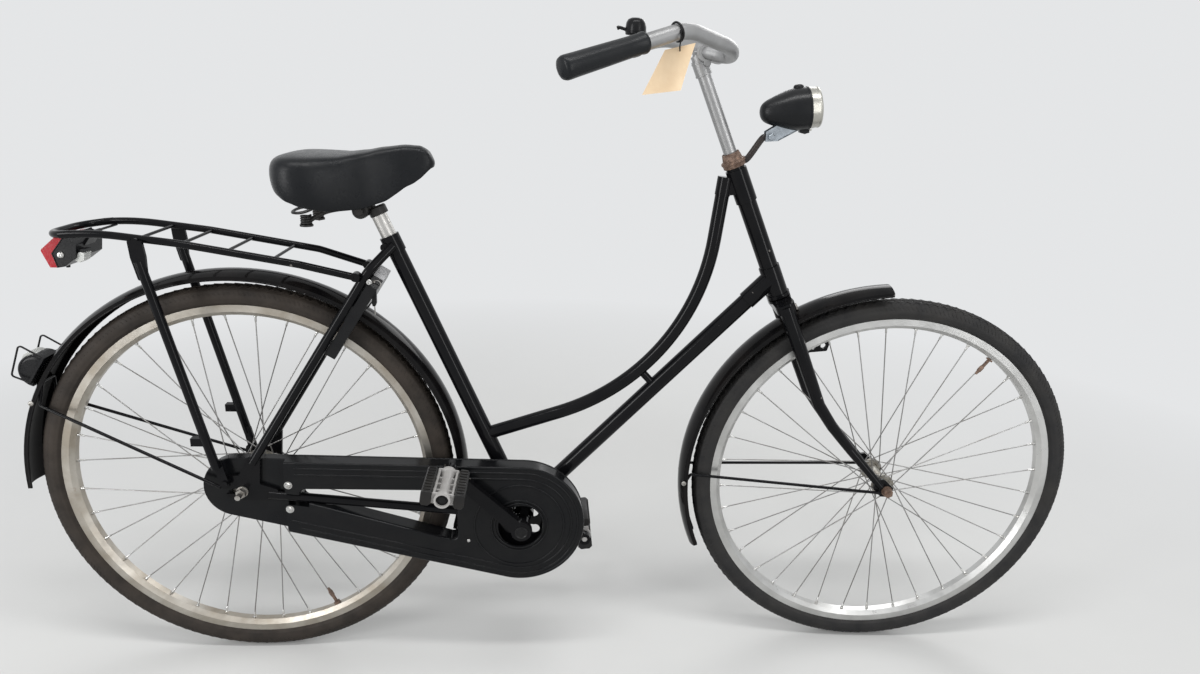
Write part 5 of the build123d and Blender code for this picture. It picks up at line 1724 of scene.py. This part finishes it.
@dataclass
class Studio:
    """The pale floor, the soft lights and the camera."""

    eye: Point = (0.3198, -1.2905, 0.1099)
    yaw: float = -4.78
    pitch: float = 16.398
    roll: float = 2.387
    lens: float = 22.98
    shift: tuple[float, float] = (-0.00217, -0.016)
    floor_z: float = -0.9365
    floor_size: float = 9.0
    floor_colour: Colour = (0.62, 0.62, 0.61)
    sky_colour: Colour = (0.78, 0.79, 0.80)
    shade: float = 0.75

    def build(self) -> None:
        """Makes the floor, world, lights and camera."""
        self._floor()
        self._world()
        self._lights()
        self._camera()
        bpy.context.scene.view_settings.view_transform = "Standard"
        LOG.info("studio ready")

    def _floor(self) -> None:
        """A flat floor under the tyres, a little rough, that keeps the shadow and fades into the backdrop."""
        mesh = bpy.data.meshes.new("floor")
        s = self.floor_size
        mesh.from_pydata([(x, y, self.floor_z) for x, y in ((-s, -s), (s, -s), (s, s), (-s, s))], [],
                         [(0, 1, 2, 3)])
        paint = bpy.data.materials.new("floor_paint")
        w = Wiring.of(paint)
        place = w.place()
        far = w.add("ShaderNodeVectorMath", {0: place, 1: (0.4, 0.0, self.floor_z)}, operation="DISTANCE")
        cloud = w.span(w.noise(place, 2.5, 5.0, 0.6), 0.3, 0.7, 0.97, 1.0)
        shader = w.add("ShaderNodeBsdfPrincipled", {
            "Base Color": w.mix(cloud, (0.0, 0.0, 0.0), self.floor_colour), "Roughness": 0.7,
            "Specular IOR Level": 0.2})
        haze = w.add("ShaderNodeEmission", {"Color": (*self.sky_colour, 1.0)})
        both = w.add("ShaderNodeMixShader", {0: w.span(far.outputs["Value"], 1.0, 2.6),
                                             1: shader.outputs[0], 2: haze.outputs[0]})
        w.surface(both.outputs[0])
        mesh.materials.append(paint)
        linked("floor", mesh)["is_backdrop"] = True

    def _world(self) -> None:
        """A plain pale surround that is dimmer as a light than as a backdrop."""
        world = bpy.context.scene.world = bpy.data.worlds.new("studio")
        w = Wiring.of(world)
        path = w.add("ShaderNodeLightPath").outputs
        seen = w.math("MAXIMUM", path["Is Camera Ray"],
                      w.math("MAXIMUM", path["Is Glossy Ray"], path["Is Transmission Ray"]))
        strength = w.span(seen, 0.0, 1.0, self.shade, 1.0)
        back = w.add("ShaderNodeBackground", {"Color": (*self.sky_colour, 1.0), "Strength": strength})
        w.surface(back.outputs[0], "World")

    @staticmethod
    def _lights() -> None:
        """A long lamp overhead, a tall one each side in front and a broad one behind."""
        aim = Vector((0.4, 0.0, -0.4))
        for name, place, size, power in (("overhead", (0.4, -0.9, 2.4), (2.8, 0.32), 44.0),
                                         ("left_window", (-1.9, -1.7, 0.25), (0.65, 2.2), 40.0),
                                         ("right_window", (2.2, -2.1, 0.3), (0.55, 2.2), 20.0),
                                         ("far_side", (1.8, 2.2, 1.2), (1.8, 1.2), 22.0)):
            lamp = bpy.data.lights.new(name, "AREA")
            lamp.shape, lamp.size, lamp.size_y, lamp.energy = "RECTANGLE", *size, power
            holder = linked(name, lamp)
            holder.location = place
            holder.rotation_mode = "QUATERNION"
            holder.rotation_quaternion = (aim - Vector(place)).to_track_quat("-Z", "Y")

    def _camera(self) -> None:
        """The camera, turned by its yaw, pitch and roll."""
        yaw, pitch, roll = (math.radians(v) for v in (self.yaw, self.pitch, self.roll))
        ahead = Vector((-math.sin(yaw) * math.cos(pitch), math.cos(yaw) * math.cos(pitch), -math.sin(pitch)))
        right = Vector((math.cos(yaw), math.sin(yaw), 0.0))
        up = right.cross(ahead)
        turned_right = math.cos(roll) * right + math.sin(roll) * up
        turned_up = math.cos(roll) * up - math.sin(roll) * right
        data = bpy.data.cameras.new("camera")
        data.lens, data.sensor_width = self.lens, 36.0
        data.shift_x, data.shift_y = self.shift
        data.clip_start, data.clip_end = 0.05, 60.0
        camera = linked("camera", data)
        turn = Matrix((turned_right, turned_up, -ahead)).transposed()
        camera.matrix_world = Matrix.Translation(Vector(self.eye)) @ turn.to_4x4()
        bpy.context.scene.camera = camera


# Main


def corners() -> list[list[float]]:
    """The shown object's lowest and highest corners as plain lists."""
    return [list(v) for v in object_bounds()]


def main() -> None:
    """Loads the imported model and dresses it."""
    logging.basicConfig(level=logging.INFO, format="%(message)s")
    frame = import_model()
    work = Workshop(Paintshop(), Repeater())
    for finish, nodes in NODES_BY_FINISH.items():
        for node in nodes.split():
            work.shop.coat_node(frame, node, finish)
    parts = (
        Wheel(Body.FRONT_WHEEL),
        Wheel(Body.REAR_WHEEL, flange_radius=30.0, left_flange=34.5, right_flange=22.0, valve_turn=-64.5),
        Saddle(), SaddleSprings(), Chaincase(), Pedal(Body.PEDAL_RIGHT, RIGHT, turn=8.0),
        Pedal(Body.PEDAL_LEFT, LEFT, turn=84.0), Handlebar(), Headlamp(), RearLamps(), RingLock(), Fittings(),
    )
    for part in parts:
        part.build(work)
    Studio().build()


if __name__ == "__main__":
    main()
